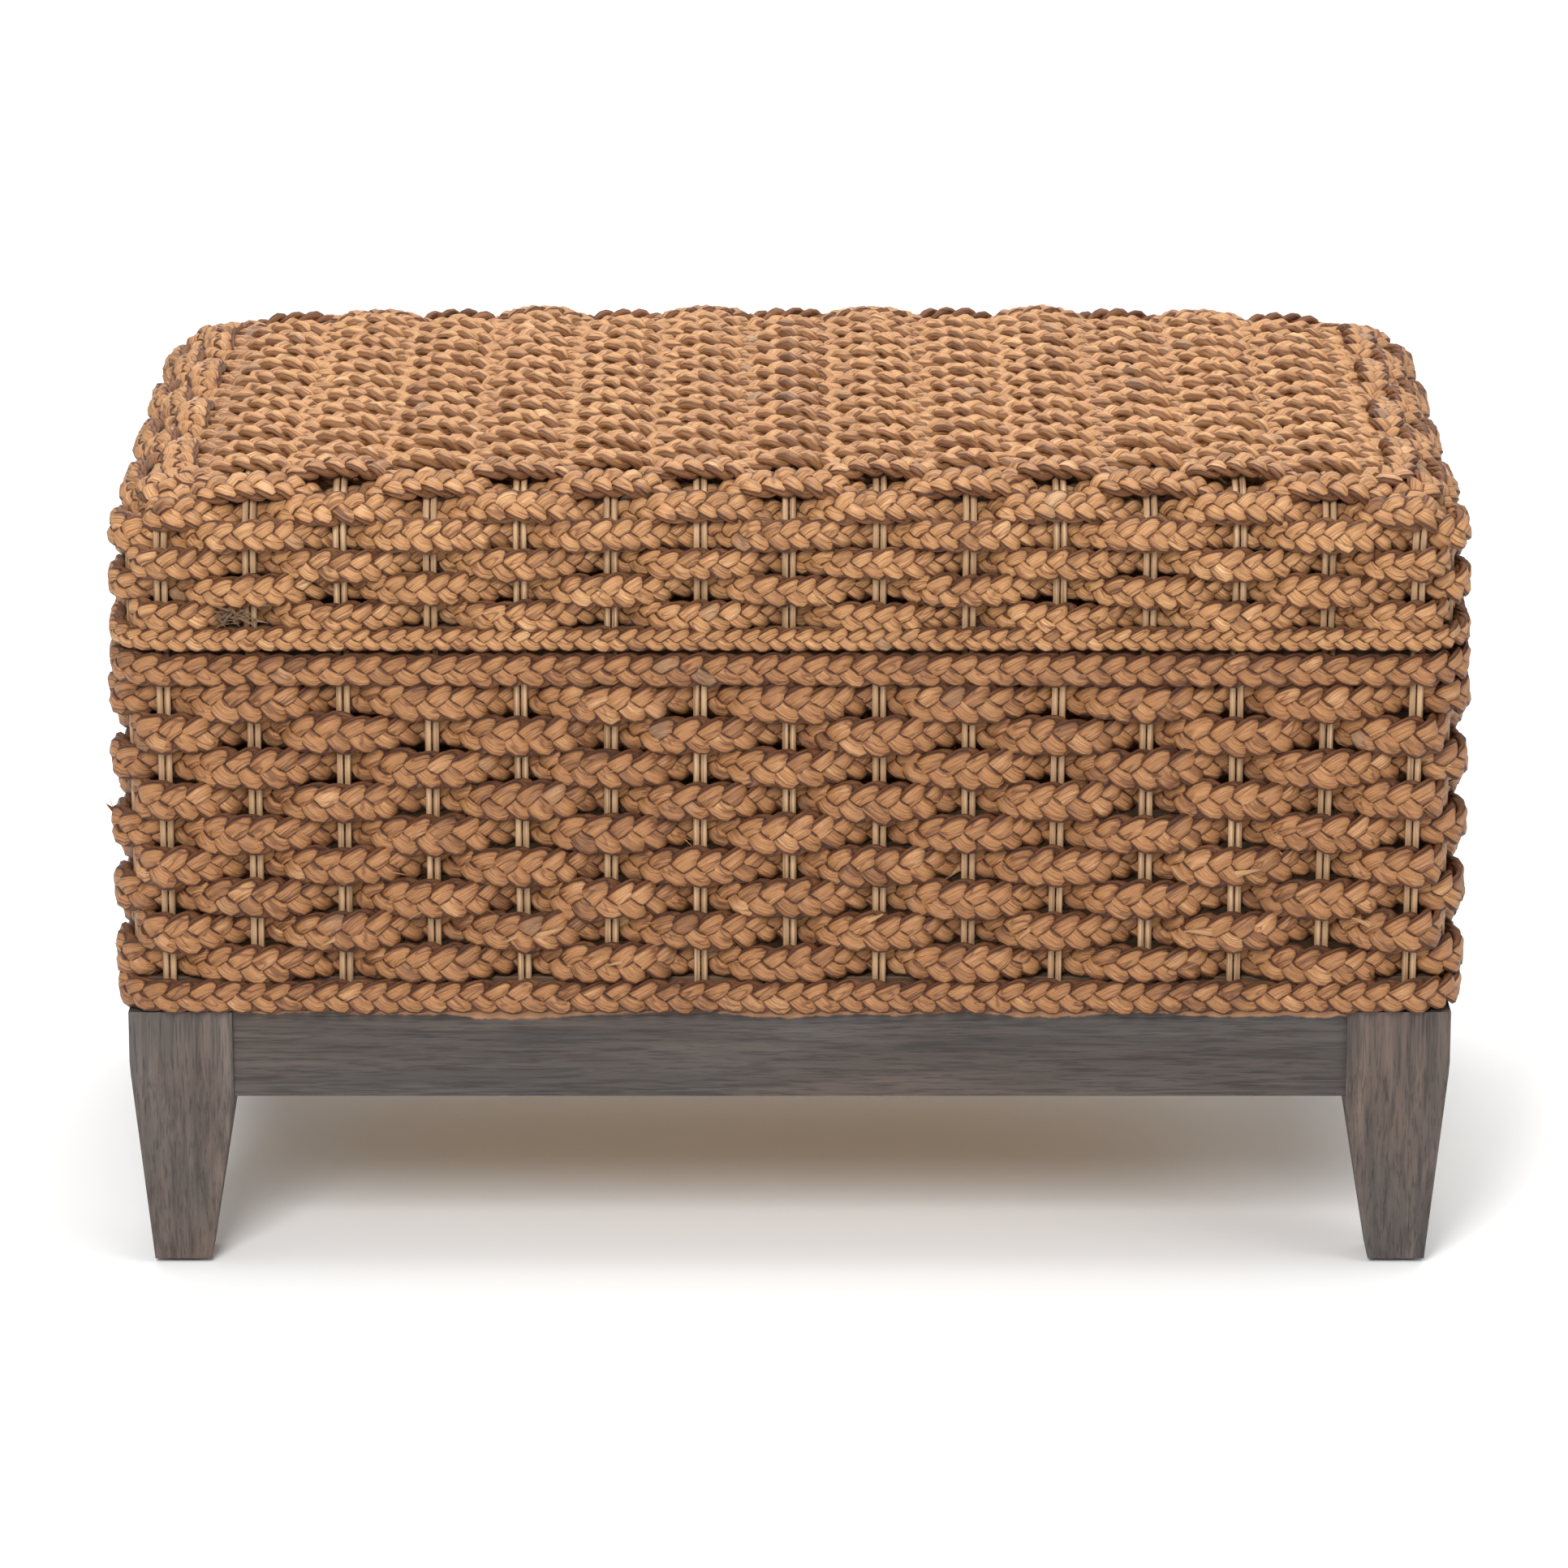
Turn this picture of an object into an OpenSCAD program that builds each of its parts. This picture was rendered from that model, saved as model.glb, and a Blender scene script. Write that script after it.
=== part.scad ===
// Woven storage trunk on a wooden base: a basket body and a pillow-shaped basket lid, both
// woven from plaited leaf braid over pairs of rattan stakes, on four tapered legs.
// Origin: on the floor, under the middle of the trunk. The front faces -Y, and +Z is up.

/* [Woven body] */
// Width of the trunk, across the stakes of its two ends
weave_w = 780; // [640:10:960]
// Depth of the trunk, across the stakes of its front and rear
weave_d = 460; // [380:10:600]
// Height of one woven row
row_pitch = 20.2; // [16:0.1:24]
// Height of the straight braids along the body's bottom and top
border_h = 21; // [17:0.5:26]
// Thickness of the braid that the rows are woven from
braid_t = 13; // [10:0.5:16]
// Thickness of the straight border braids
border_t = 8; // [6:0.5:11]

/* [Rattan stakes] */
// Diameter of one rattan stake
stake_d = 4; // [3:0.25:6]
// Gap between the two stakes of a pair
stake_gap = 0.5; // [0.2:0.1:4]
// Pairs of stakes along the front, and as many along the rear
stakes_front = 15; // [11:1:21]
// Pairs of stakes along each end
stakes_side = 9; // [5:2:13]

/* [Inner frame] */
// Height of the rails along the body's bottom and top
rail_h = 20; // [16:1:21]
// Side of the square corner posts
post_w = 18; // [14:1:24]
// Thickness of the plywood floor
floor_t = 9; // [6:1:12]
// Thickness of the plywood board in the lid
board_t = 9; // [6:1:12]

/* [Lid] */
// Height of the straight braid along the lid's rim
lid_border_h = 12.5; // [10:0.5:18]
// Height of one woven row of the lid, which has a slimmer braid
lid_row_pitch = 16; // [13:0.5:20]
// Height of the lid's upright wall above its woven rows, up to the bend
lid_wall_rest = 1; // [1:1:12]
// Radius of the stakes' bend from the lid's wall to its top
shoulder_r = 35.5; // [28:0.5:46]

/* [Wooden base] */
// Height of the base, from the floor to the woven body
base_h = 163; // [120:1:200]
// Side of a leg at its top
leg_top = 62; // [50:1:72]
// Taper of a leg's outer faces
leg_taper_out = 11.5; // [0:0.5:16]
// Taper of a leg's inner faces
leg_taper_in = 16.5; // [0:0.5:18]
// Length of the straight stretch at the top of a leg's outer faces
leg_straight = 31; // [20:1:50]
// How far the border braid overhangs the legs
leg_inset = 5; // [0:0.5:12]
// Height of the aprons
apron_h = 54; // [45:1:70]
// Thickness of the aprons
apron_t = 20; // [16:1:26]
// How far an apron's face lies behind the leg's face
apron_inset = 3; // [0:0.5:6]
// Depth of the aprons' housings in the legs
apron_housing = 2.5; // [1:0.5:6]
// Side of the square cleats inside the aprons
cleat = 18; // [14:1:24]
// Length of a corner brace along each apron
brace_leg = 60; // [50:1:80]
// Height of the corner braces
brace_h = 26; // [18:1:30]
// Diameter of the dowels between aprons and legs
dowel_d = 8; // [6:1:10]
// Length of the dowels
dowel_len = 36; // [28:2:40]
// Diameter of the bolts through the corner braces
bolt_d = 6; // [5:1:8]
// How far those bolts go into the leg
bolt_in_leg = 30; // [20:1:36]
// Diameter of the glides under the legs
glide_d = 14; // [10:1:20]
// Height of the glides
glide_h = 2.5; // [2:0.5:5]

/* [Hinges and stays] */
// Distance from the trunk's middle to a hinge's middle
hinge_x = 230; // [150:5:290]
// Width of a hinge
hinge_w = 60; // [40:2:80]
// Thickness of a hinge leaf
leaf_t = 1.5; // [1:0.25:2.5]
// Radius of a hinge barrel
barrel_r = 3.5; // [3:0.25:5]
// Diameter of a hinge pin
hinge_pin_d = 3.5; // [2.5:0.25:4]
// Distance between the pivots of a stay link, and from the hinge line to a stay's mounts
stay_r = 150; // [110:5:160]
// Width of a stay link
link_w = 16; // [12:1:18]
// Thickness of a stay link
link_t = 2; // [1.5:0.25:3]
// Diameter of the stay pivots
pivot_d = 5; // [4:0.5:6]
// Depth of the lower stay pivot under the hinge line
pivot_drop = 12; // [10:0.5:14]
// Height of the upper stay pivot over the hinge line
pivot_rise = 8; // [7:0.5:9]
// Diameter of the wood screws
screw_d = 3.5; // [3:0.25:4.5]

/* [Clearances] */
// Gap between one braid and the next
row_gap = 0.3; // [0.2:0.1:0.6]
// Gap between a stake and the rail or border that it lies against
stake_fit = 0.2; // [0.1:0.1:0.5]
// Room between a braid's bend and the stake inside it
weave_slack = 2.5; // [1:0.5:4]
// Room between the woven rows and the corner posts
post_clear = 2.5; // [1:0.5:5]
// Gap between the closed lid and the body
lid_gap = 0.5; // [0.3:0.1:1]
// Play of a pin, dowel or screw in its hole, on the diameter
hole_play = 0.2; // [0.1:0.05:0.4]
// Gap between moving plates, and between hinge knuckles
plate_gap = 0.5; // [0.3:0.1:1]

/* [Hidden] */
body_rows = 9;
lid_rows = 3;
shoulder_rows = 4;
top_braids = 22;
steps = 4; // points of a woven row from one stake to the next
knuckles = 5;
glue_gap = 0.3; // between rails that meet end to face
over = 1; // how far a cut runs past the face that it opens

// plan of the weave
stake_pair = stake_d + stake_gap;
weave_amp = (stake_d + braid_t) / 2 + weave_slack;
weave_reach = weave_amp + braid_t / 2;
corner_r = weave_reach + post_clear;
corner_hold = 1.2; // holds a row clear of the last stakes as it turns a corner
half_w = weave_w / 2;
half_d = weave_d / 2;
run_w = weave_w - 2 * corner_r;
run_d = weave_d - 2 * corner_r;
pitch_front = run_w / (stakes_front - 1);
pitch_side = run_d / (stakes_side - 1);
stake_out = stake_d / 2 + stake_fit;
border_out = stake_out + border_t;
border_in_r = corner_r + stake_out - stake_pair; // clear of the last stakes of each side
rail_t = weave_reach + post_clear - stake_out;
inner_w = half_w - weave_reach - post_clear;
inner_d = half_d - weave_reach - post_clear;
rail_cut = rail_t / 4; // the rails' corners are cut off behind the round borders

// heights
body_top = base_h + 2 * border_h + body_rows * row_pitch;
lid_z = body_top + lid_gap;
lid_rows_z = lid_z + lid_border_h;
lid_rail_h = lid_border_h - row_gap; // the rows above bow inwards, over the rails
shoulder_ring_z = lid_rows_z + lid_rows * lid_row_pitch;
bend_z = shoulder_ring_z + lid_wall_rest;
top_z = bend_z + shoulder_r;
board_z = top_z - weave_reach - row_gap - board_t;
bend_w = half_w - shoulder_r;
bend_d = half_d - shoulder_r;
top_pitch = 2 * bend_d / top_braids;

// base
leg_out_w = half_w + border_out - leg_inset;
leg_out_d = half_d + border_out - leg_inset;
leg_in_w = leg_out_w - leg_top;
leg_in_d = leg_out_d - leg_top;
apron_z = base_h - apron_h;
apron_out_w = leg_out_w - apron_inset;
apron_out_d = leg_out_d - apron_inset;
apron_in_w = apron_out_w - apron_t;
apron_in_d = apron_out_d - apron_t;
cleat_z = base_h - cleat;
brace_z = cleat_z - brace_h;
dowel_rows = [apron_z + apron_h * 0.3, apron_z + apron_h * 0.7];

// hinge line and stays, as [y, z]
hinge_y = half_d + weave_reach - barrel_r;
hinge_z = body_top + lid_gap / 2;
lower_pivot = [hinge_y - sqrt(pow(stay_r, 2) - pow(pivot_drop, 2)), hinge_z - pivot_drop];
upper_pivot = [hinge_y - sqrt(pow(stay_r, 2) - pow(pivot_rise, 2)), hinge_z + pivot_rise];
elbow = lower_pivot + upper_pivot - [hinge_y, hinge_z];
lower_link_x = inner_w - plate_gap - link_t;
upper_link_x = lower_link_x - plate_gap - link_t;
leaf_edge = 4; // of the rail, left uncovered beside a leaf
leaf_in = rail_t - leaf_edge;
leaf_y = inner_d + leaf_edge;
hinge_cut_z = barrel_r + 1;
screw_len = 13;
lid_screw_len = lid_rail_h - 2;
stud_len = 11; // of a stay pivot, in its rail
pivot_head = 1.5;
screw_head_d = 7;
screw_head_h = 1.2;

// ---- helpers ----

// a box between two corners
module block(low, high) {
    translate(low) cube(high - low);
}

// the children at all four corners, mirrored
module four_corners() {
    for (sx = [-1, 1], sy = [-1, 1]) scale_side(sx, sy) children();
}

// the children mirrored across x = 0 and y = 0 as the signs say
module scale_side(sx, sy) {
    mirror([sx < 0 ? 1 : 0, 0, 0]) mirror([0, sy < 0 ? 1 : 0, 0]) children();
}

// the children at both ends, mirrored
module both_ends() {
    for (sx = [-1, 1]) scale_side(sx, 1) children();
}

// a rod along +X that starts at p
module rod_x(p, len, d) {
    translate(p) rotate([0, 90, 0]) cylinder(h = len, d = d, $fn = 24);
}

// a rod along +Y that starts at p
module rod_y(p, len, d) {
    translate(p) rotate([-90, 0, 0]) cylinder(h = len, d = d, $fn = 24);
}

// a countersunk screw along -Z, its head's face at p
module screw(p, len) {
    translate(p) translate([0, 0, -len]) cylinder(h = len - screw_head_h / 2, d = screw_d, $fn = 24);
    translate(p) translate([0, 0, -screw_head_h]) cylinder(
        h = screw_head_h, d1 = screw_d, d2 = screw_head_d, $fn = 24);
}

// what a screw needs in the pieces that it holds
module screw_hole(p, len) {
    bore = screw_d + hole_play;
    translate(p) translate([0, 0, -len - hole_play]) cylinder(h = len + over, d = bore, $fn = 24);
    translate(p) translate([0, 0, -screw_head_h]) cylinder(
        h = screw_head_h + 0.01, d1 = bore, d2 = screw_head_d + hole_play, $fn = 24);
}

// a rectangle with round corners, centred
module round_rect(hw, hd, r) {
    square([2 * hw, 2 * (hd - r)], center = true);
    square([2 * (hw - r), 2 * hd], center = true);
    for (sx = [-1, 1], sy = [-1, 1]) translate([sx * (hw - r), sy * (hd - r)]) circle(r = r, $fn = 32);
}

// ---- the weave ----

function turn(p, a) = [p[0] * cos(a) - p[1] * sin(a), p[0] * sin(a) + p[1] * cos(a)];
function side_run(i) = i % 2 == 0 ? run_w : run_d;
function side_half(i) = i % 2 == 0 ? half_d : half_w;
function side_stakes(i) = i % 2 == 0 ? stakes_front : stakes_side;
// number of the first stake of side i, counted round the basket
function first_stake(i) = [0, stakes_front, stakes_front + stakes_side, 2 * stakes_front + stakes_side][i];
function over_under(n) = n % 2 == 0 ? 1 : -1;

// plan of one woven row, out in front of every other stake: side by side and corner by corner
function row_plan(row, skin) = [
    for (i = [0:3])
        let (
            run = side_run(i),
            n = side_stakes(i),
            first = weave_amp * over_under(first_stake(i) + row),
            last = first * over_under(n - 1),
            straight = [
                for (j = [0:steps * (n - 1)])
                    let (wave = first * cos(180 * j / steps))
                        [j * run / (steps * (n - 1)) - run / 2, -side_half(i) - skin - wave]
            ],
            bend = [
                for (a = [22.5:22.5:67.5])
                    let (r = corner_r + skin + last * corner_hold * cos(2 * a))
                        [run / 2 + r * sin(a), corner_r - side_half(i) - r * cos(a)]
            ]
        )
            each [for (p = concat(straight, bend)) turn(p, 90 * i)]
];

// one woven row, from height z
module woven_row(row, z, pitch) {
    difference() {
        translate([0, 0, z]) linear_extrude(pitch - row_gap) polygon(row_plan(row, braid_t / 2));
        translate([0, 0, z - over]) linear_extrude(pitch + 2 * over) polygon(row_plan(row, -braid_t / 2));
    }
}

// a straight border braid that covers the stakes
module border_ring(z, h) {
    difference() {
        translate([0, 0, z]) linear_extrude(h)
            round_rect(half_w + border_out, half_d + border_out, corner_r + border_out);
        translate([0, 0, z - over]) linear_extrude(h + 2 * over)
            round_rect(half_w + stake_out, half_d + stake_out, border_in_r);
    }
}

// places of the stake pairs along a front or rear, and along an end
stake_x = [for (k = [0:stakes_front - 1]) k * pitch_front - run_w / 2];
stake_y = [for (k = [0:stakes_side - 1]) k * pitch_side - run_d / 2];

// room for the hinge barrels and leaves in the rear border and stakes, of the body or of the lid
module hinge_room(z0, z1) {
    room_w = hinge_w / 2 + pin_head_t + plate_gap;
    both_ends() block(
        [hinge_x - room_w, inner_d + rail_t, z0], [hinge_x + room_w, hinge_y + barrel_r + over, z1]);
}

// the leaves' own seats in a rail
module leaf_seats(z0, z1) {
    both_ends() block(
        [hinge_x - hinge_w / 2, leaf_y, z0], [hinge_x + hinge_w / 2, inner_d + rail_t + over, z1]);
}

// ---- wooden base ----

// one face of a leg: straight, then tapered, as [distance out, height]
function leg_profile(outer, inner) = [
    [inner, base_h],
    [outer, base_h],
    [outer, base_h - leg_straight],
    [outer - leg_taper_out * 0.04, base_h - leg_straight - 8],
    [outer - leg_taper_out * 0.13, base_h - leg_straight - 19],
    [outer - leg_taper_out, glide_h],
    [inner + leg_taper_in, glide_h],
    [inner, apron_z - 4]
];

module leg_blank() {
    intersection() {
        translate([0, leg_out_d + over, 0]) rotate([90, 0, 0])
            linear_extrude(leg_top + 2) polygon(leg_profile(leg_out_w, leg_in_w));
        translate([leg_in_w - over, 0, 0]) rotate([90, 0, 90])
            linear_extrude(leg_top + 2 * over) polygon(leg_profile(leg_out_d, leg_in_d));
    }
}

module leg(sx, sy) {
    color("#5f554f") difference() {
        scale_side(sx, sy) leg_blank();
        apron_long_bodies();
        apron_short_bodies();
        dowels(hole_play);
        brace_bolt_rods(bolt_d + hole_play);
        glide_shanks(glide_shank_d + hole_play, 1);
    }
}

module leg_front_left() { leg(-1, -1); }
module leg_front_right() { leg(1, -1); }
module leg_rear_left() { leg(-1, 1); }
module leg_rear_right() { leg(1, 1); }

apron_half_w = leg_in_w + apron_housing;
apron_half_d = leg_in_d + apron_housing;

module apron_long_body() {
    block([-apron_half_w, apron_in_d, apron_z], [apron_half_w, apron_out_d, base_h]);
}

module apron_long_bodies() {
    for (sy = [-1, 1]) scale_side(1, sy) apron_long_body();
}

module apron_short_body() {
    block([apron_in_w, -apron_half_d, apron_z], [apron_out_w, apron_half_d, base_h]);
}

module apron_short_bodies() {
    both_ends() apron_short_body();
}

module apron_long(sy) {
    color("#655b55") difference() {
        scale_side(1, sy) apron_long_body();
        dowels(hole_play);
    }
}

module apron_short(sx) {
    color("#655b55") difference() {
        scale_side(sx, 1) apron_short_body();
        dowels(hole_play);
    }
}

module apron_front() { apron_long(-1); }
module apron_rear() { apron_long(1); }
module apron_left() { apron_short(-1); }
module apron_right() { apron_short(1); }

// two dowels at each end of each apron
module dowels(play) {
    len = dowel_len + play;
    four_corners() for (z = dowel_rows) {
        rod_x([apron_half_w - len / 2, (apron_in_d + apron_out_d) / 2, z], len, dowel_d + play);
        rod_y([(apron_in_w + apron_out_w) / 2, apron_half_d - len / 2, z], len, dowel_d + play);
    }
}

module apron_dowels() { color("#c9a877") dowels(0); }

// cleats inside the aprons, flush with their tops, that carry the floor
module base_cleats() {
    color("#b79a72") difference() {
        union() {
            for (sy = [-1, 1]) scale_side(1, sy)
                block([-leg_in_w, apron_in_d - cleat, cleat_z], [leg_in_w, apron_in_d, base_h]);
            both_ends()
                block([apron_in_w - cleat, -leg_in_d, cleat_z], [apron_in_w, leg_in_d, base_h]);
        }
        basket_screw_holes();
    }
}

// diagonal braces behind the legs, against both aprons
module brace_blank() {
    translate([0, 0, brace_z]) linear_extrude(brace_h - glue_gap) polygon([
        [leg_in_w - brace_leg, apron_in_d],
        [leg_in_w, apron_in_d],
        [leg_in_w, leg_in_d],
        [apron_in_w, leg_in_d],
        [apron_in_w, leg_in_d - brace_leg]
    ]);
}

module corner_braces() {
    color("#b79a72") difference() {
        four_corners() brace_blank();
        brace_bolt_rods(bolt_d + hole_play);
    }
}

// a rod across each brace into its leg, from the brace's diagonal face
brace_face = (leg_in_w - brace_leg + apron_in_w) / 2;
bolt_z = brace_z + brace_h / 2;
bolt_start = [brace_face, (apron_in_d + leg_in_d - brace_leg) / 2, bolt_z];
bolt_len = (leg_in_w - brace_face) * sqrt(2) + bolt_in_leg;
washer_t = 1.5;
bolt_head_h = 0.6 * bolt_d;

module brace_bolt_rods(d) {
    four_corners() translate(bolt_start) rotate([0, 90, 45])
        translate([0, 0, -bolt_d]) cylinder(h = bolt_len + bolt_d, d = d, $fn = 24);
}

module brace_bolts() {
    color("#b9bcc0") {
        brace_bolt_rods(bolt_d);
        four_corners() translate(bolt_start) rotate([0, 90, 45]) {
            translate([0, 0, -washer_t]) cylinder(h = washer_t, d = 2.4 * bolt_d, $fn = 32);
            translate([0, 0, -washer_t - bolt_head_h]) cylinder(h = bolt_head_h, d = 1.8 * bolt_d, $fn = 6);
        }
    }
}

glide_shank_d = 3;
glide_shank = 15;
glide_rim = 1; // height of the glide's rounded lower edge
glide_x = leg_out_w - (leg_top + leg_taper_out - leg_taper_in) / 2;
glide_y = leg_out_d - (leg_top + leg_taper_out - leg_taper_in) / 2;

module glide_shanks(d, more) {
    four_corners() translate([glide_x, glide_y, glide_rim])
        cylinder(h = glide_shank + more, d = d, $fn = 24);
}

module foot_glides() {
    color("#8f9296") union() {
        glide_shanks(glide_shank_d, 0);
        four_corners() translate([glide_x, glide_y, 0]) {
            cylinder(h = glide_rim, d1 = glide_d - 2 * glide_rim, d2 = glide_d, $fn = 32);
            translate([0, 0, glide_rim]) cylinder(h = glide_h - glide_rim, d = glide_d, $fn = 32);
        }
    }
}

// screws up through the cleats into the floor
basket_screw_len = cleat + floor_t - 3;
basket_screw_places = [
    for (sy = [-1, 1], x = [-0.6, 0, 0.6]) [x * leg_in_w, sy * (apron_in_d - cleat / 2)],
    for (sx = [-1, 1], y = [-0.5, 0.5]) [sx * (apron_in_w - cleat / 2), y * leg_in_d]
];

module basket_screws() {
    color("#c9b46a") for (p = basket_screw_places)
        translate([p[0], p[1], cleat_z]) mirror([0, 0, 1]) screw([0, 0, 0], basket_screw_len);
}

module basket_screw_holes() {
    for (p = basket_screw_places)
        translate([p[0], p[1], cleat_z]) mirror([0, 0, 1]) screw_hole([0, 0, 0], basket_screw_len);
}

// ---- inner frame of the body ----

// four rails in a ring: the long ones reach the corners, the short ones fit between them
module rail_ring(z, h) {
    for (sy = [-1, 1]) scale_side(1, sy) translate([0, 0, z]) linear_extrude(h) polygon([
        [-inner_w - rail_t, inner_d],
        [inner_w + rail_t, inner_d],
        [inner_w + rail_t, inner_d + rail_t - rail_cut],
        [inner_w + rail_t - rail_cut, inner_d + rail_t],
        [rail_cut - inner_w - rail_t, inner_d + rail_t],
        [-inner_w - rail_t, inner_d + rail_t - rail_cut]
    ]);
    both_ends()
        block([inner_w, glue_gap - inner_d, z], [inner_w + rail_t, inner_d - glue_gap, z + h]);
}

module bottom_rails() {
    color("#c4a67c") rail_ring(base_h, rail_h);
}

module top_rails() {
    color("#c4a67c") difference() {
        rail_ring(body_top - rail_h, rail_h);
        leaf_seats(body_top - leaf_t, body_top + over);
        hinge_body_screw_holes();
        stay_stud_bodies(lower_pivot, pivot_d + hole_play);
    }
}

module corner_posts() {
    color("#c4a67c") four_corners()
        block([inner_w - post_w, inner_d - post_w, base_h], [inner_w, inner_d, body_top]);
}

module floor_panel() {
    color("#d2b98c") difference() {
        block([-inner_w, -inner_d, base_h], [inner_w, inner_d, base_h + floor_t]);
        four_corners() block(
            [inner_w - post_w, inner_d - post_w, base_h - over],
            [inner_w + over, inner_d + over, base_h + floor_t + over]);
        basket_screw_holes();
    }
}

// ---- woven body ----

module stake_at(x, y) {
    translate([x, y, base_h]) cylinder(h = body_top - base_h, d = stake_d, $fn = 16);
}

module stakes_front_rear() {
    color("#d8c9a4") difference() {
        for (x = stake_x, e = [-0.5, 0.5], sy = [-1, 1]) stake_at(x + e * stake_pair, sy * half_d);
        hinge_room(hinge_z - hinge_cut_z, body_top + over);
    }
}

module stakes_sides() {
    color("#d8c9a4") for (y = stake_y, e = [-0.5, 0.5], sx = [-1, 1])
        stake_at(sx * half_w, y + e * stake_pair);
}

module body_border_bottom() {
    color("#b68f57") border_ring(base_h, border_h - row_gap);
}

module body_border_top() {
    color("#b68f57") difference() {
        border_ring(body_top - border_h, border_h);
        hinge_room(hinge_z - hinge_cut_z, body_top + over);
    }
}

module body_row(n) {
    color(n % 2 == 0 ? "#b9935c" : "#ab8550")
        woven_row(n, base_h + border_h + (n - 1) * row_pitch, row_pitch);
}

module body_row_1() { body_row(1); }
module body_row_2() { body_row(2); }
module body_row_3() { body_row(3); }
module body_row_4() { body_row(4); }
module body_row_5() { body_row(5); }
module body_row_6() { body_row(6); }
module body_row_7() { body_row(7); }
module body_row_8() { body_row(8); }
module body_row_9() { body_row(9); }

// ---- lid ----

module lid_rails() {
    color("#c4a67c") difference() {
        rail_ring(lid_z, lid_rail_h);
        leaf_seats(lid_z - over, lid_z + leaf_t);
        hinge_lid_screw_holes();
        stay_stud_bodies(upper_pivot, pivot_d + hole_play);
    }
}

module lid_posts() {
    color("#c4a67c") difference() {
        four_corners() block([inner_w - post_w, inner_d - post_w, lid_z], [inner_w, inner_d, board_z]);
        lid_board_screw_holes();
    }
}

module lid_board() {
    color("#d2b98c") difference() {
        block([-inner_w, -inner_d, board_z], [inner_w, inner_d, board_z + board_t]);
        lid_board_screw_holes();
    }
}

board_screw_x = inner_w - post_w / 2;
board_screw_y = inner_d - post_w / 2;
board_screw_len = board_t + 20;

module lid_board_screws() {
    color("#c9b46a") four_corners()
        screw([board_screw_x, board_screw_y, board_z + board_t], board_screw_len);
}

module lid_board_screw_holes() {
    four_corners() screw_hole([board_screw_x, board_screw_y, board_z + board_t], board_screw_len);
}

// points on the lid's bend at distance r from its middle, as [out of the bend's middle, height]
function bend_points(r, from, to, count) = [
    for (i = [0:count])
        let (a = from + (to - from) * i / count)
            [r * cos(a), bend_z + r * sin(a)]
];

// a stake's outline up the wall and round the bend to the given angle
function short_stake_plan(r0, r1, to) = concat(
    [[r0, lid_z], [r1, lid_z]],
    bend_points(r1, 0, to, 5),
    [for (i = [5:-1:0]) bend_points(r0, 0, to, 5)[i]]
);

stake_in_r = shoulder_r - stake_d / 2;
stake_out_r = shoulder_r + stake_d / 2;

// one face of a stake over the lid, from the front's rim to the top's middle, as [y, z]
function long_stake_side(r) = [
    for (p = concat([[r, lid_z]], bend_points(r, 0, 90, 6))) [p[0] + bend_d, p[1]]
];
function flip(points) = [for (p = back(points)) [-p[0], p[1]]];
function back(points) = [for (i = [len(points) - 1:-1:0]) points[i]];

module lid_stakes_long() {
    outer = long_stake_side(stake_out_r);
    inner = long_stake_side(stake_in_r);
    color("#d8c9a4") difference() {
        for (k = [1:stakes_front - 2], e = [-0.5, 0.5])
            translate([stake_x[k] + e * stake_pair - stake_d / 2, 0, 0])
                rotate([90, 0, 90]) linear_extrude(stake_d)
                    polygon(concat(outer, flip(outer), back(flip(inner)), back(inner)));
        hinge_room(lid_z - over, hinge_z + hinge_cut_z);
    }
}

// the stakes of the ends, and the outermost ones of front and rear, stop in the bend
short_stake_end = 75;
corner_stake_end = 40;

// one short stake against +X, up to the given angle of the bend
module short_stake(bend, to) {
    translate([bend, stake_d / 2, 0]) rotate([90, 0, 0]) linear_extrude(stake_d)
        polygon(short_stake_plan(stake_in_r, stake_out_r, to));
}

module lid_stakes_short() {
    last = stakes_side - 1;
    color("#d8c9a4") {
        for (k = [0:last], e = [-0.5, 0.5], sx = [-1, 1])
            scale_side(sx, 1) translate([0, stake_y[k] + e * stake_pair, 0])
                short_stake(bend_w, k == 0 || k == last ? corner_stake_end : short_stake_end);
        for (x = [stake_x[0], stake_x[stakes_front - 1]], e = [-0.5, 0.5], sy = [-1, 1])
            scale_side(1, sy) translate([x + e * stake_pair, 0, 0]) rotate([0, 0, 90])
                short_stake(bend_d, corner_stake_end);
    }
}

module lid_border() {
    color("#b68f57") difference() {
        border_ring(lid_z, lid_border_h - row_gap);
        hinge_room(lid_z - over, hinge_z + hinge_cut_z);
    }
}

module lid_row(n) {
    color(n % 2 == 0 ? "#c19b60" : "#b38d56")
        woven_row(n + body_rows, lid_rows_z + (n - 1) * lid_row_pitch, lid_row_pitch);
}

module lid_row_1() { lid_row(1); }
module lid_row_2() { lid_row(2); }
module lid_row_3() { lid_row(3); }

// one row of the bend: a bar along each side, mitred at the corners
ring_in_r = stake_out_r + row_gap;
ring_out_r = ring_in_r + braid_t;
ring_corner_r = corner_r + border_out;
ring_step = 90 / shoulder_rows;

function shoulder_section(n) = let (
    edge = asin(row_gap / ring_in_r) / 2,
    a0 = (n - 1) * ring_step + edge,
    a1 = n * ring_step - edge,
    low = n == 1 ? [[ring_in_r, shoulder_ring_z], [ring_out_r, shoulder_ring_z]] : []
) concat(low, bend_points(ring_out_r, a0, a1, 2), back(bend_points(ring_in_r, a0, a1, 2)));

module shoulder_bar(n, bend, length) {
    translate([0, bend, 0]) rotate([90, 0, 90]) translate([0, 0, -length / 2])
        linear_extrude(length) polygon(shoulder_section(n));
}

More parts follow.
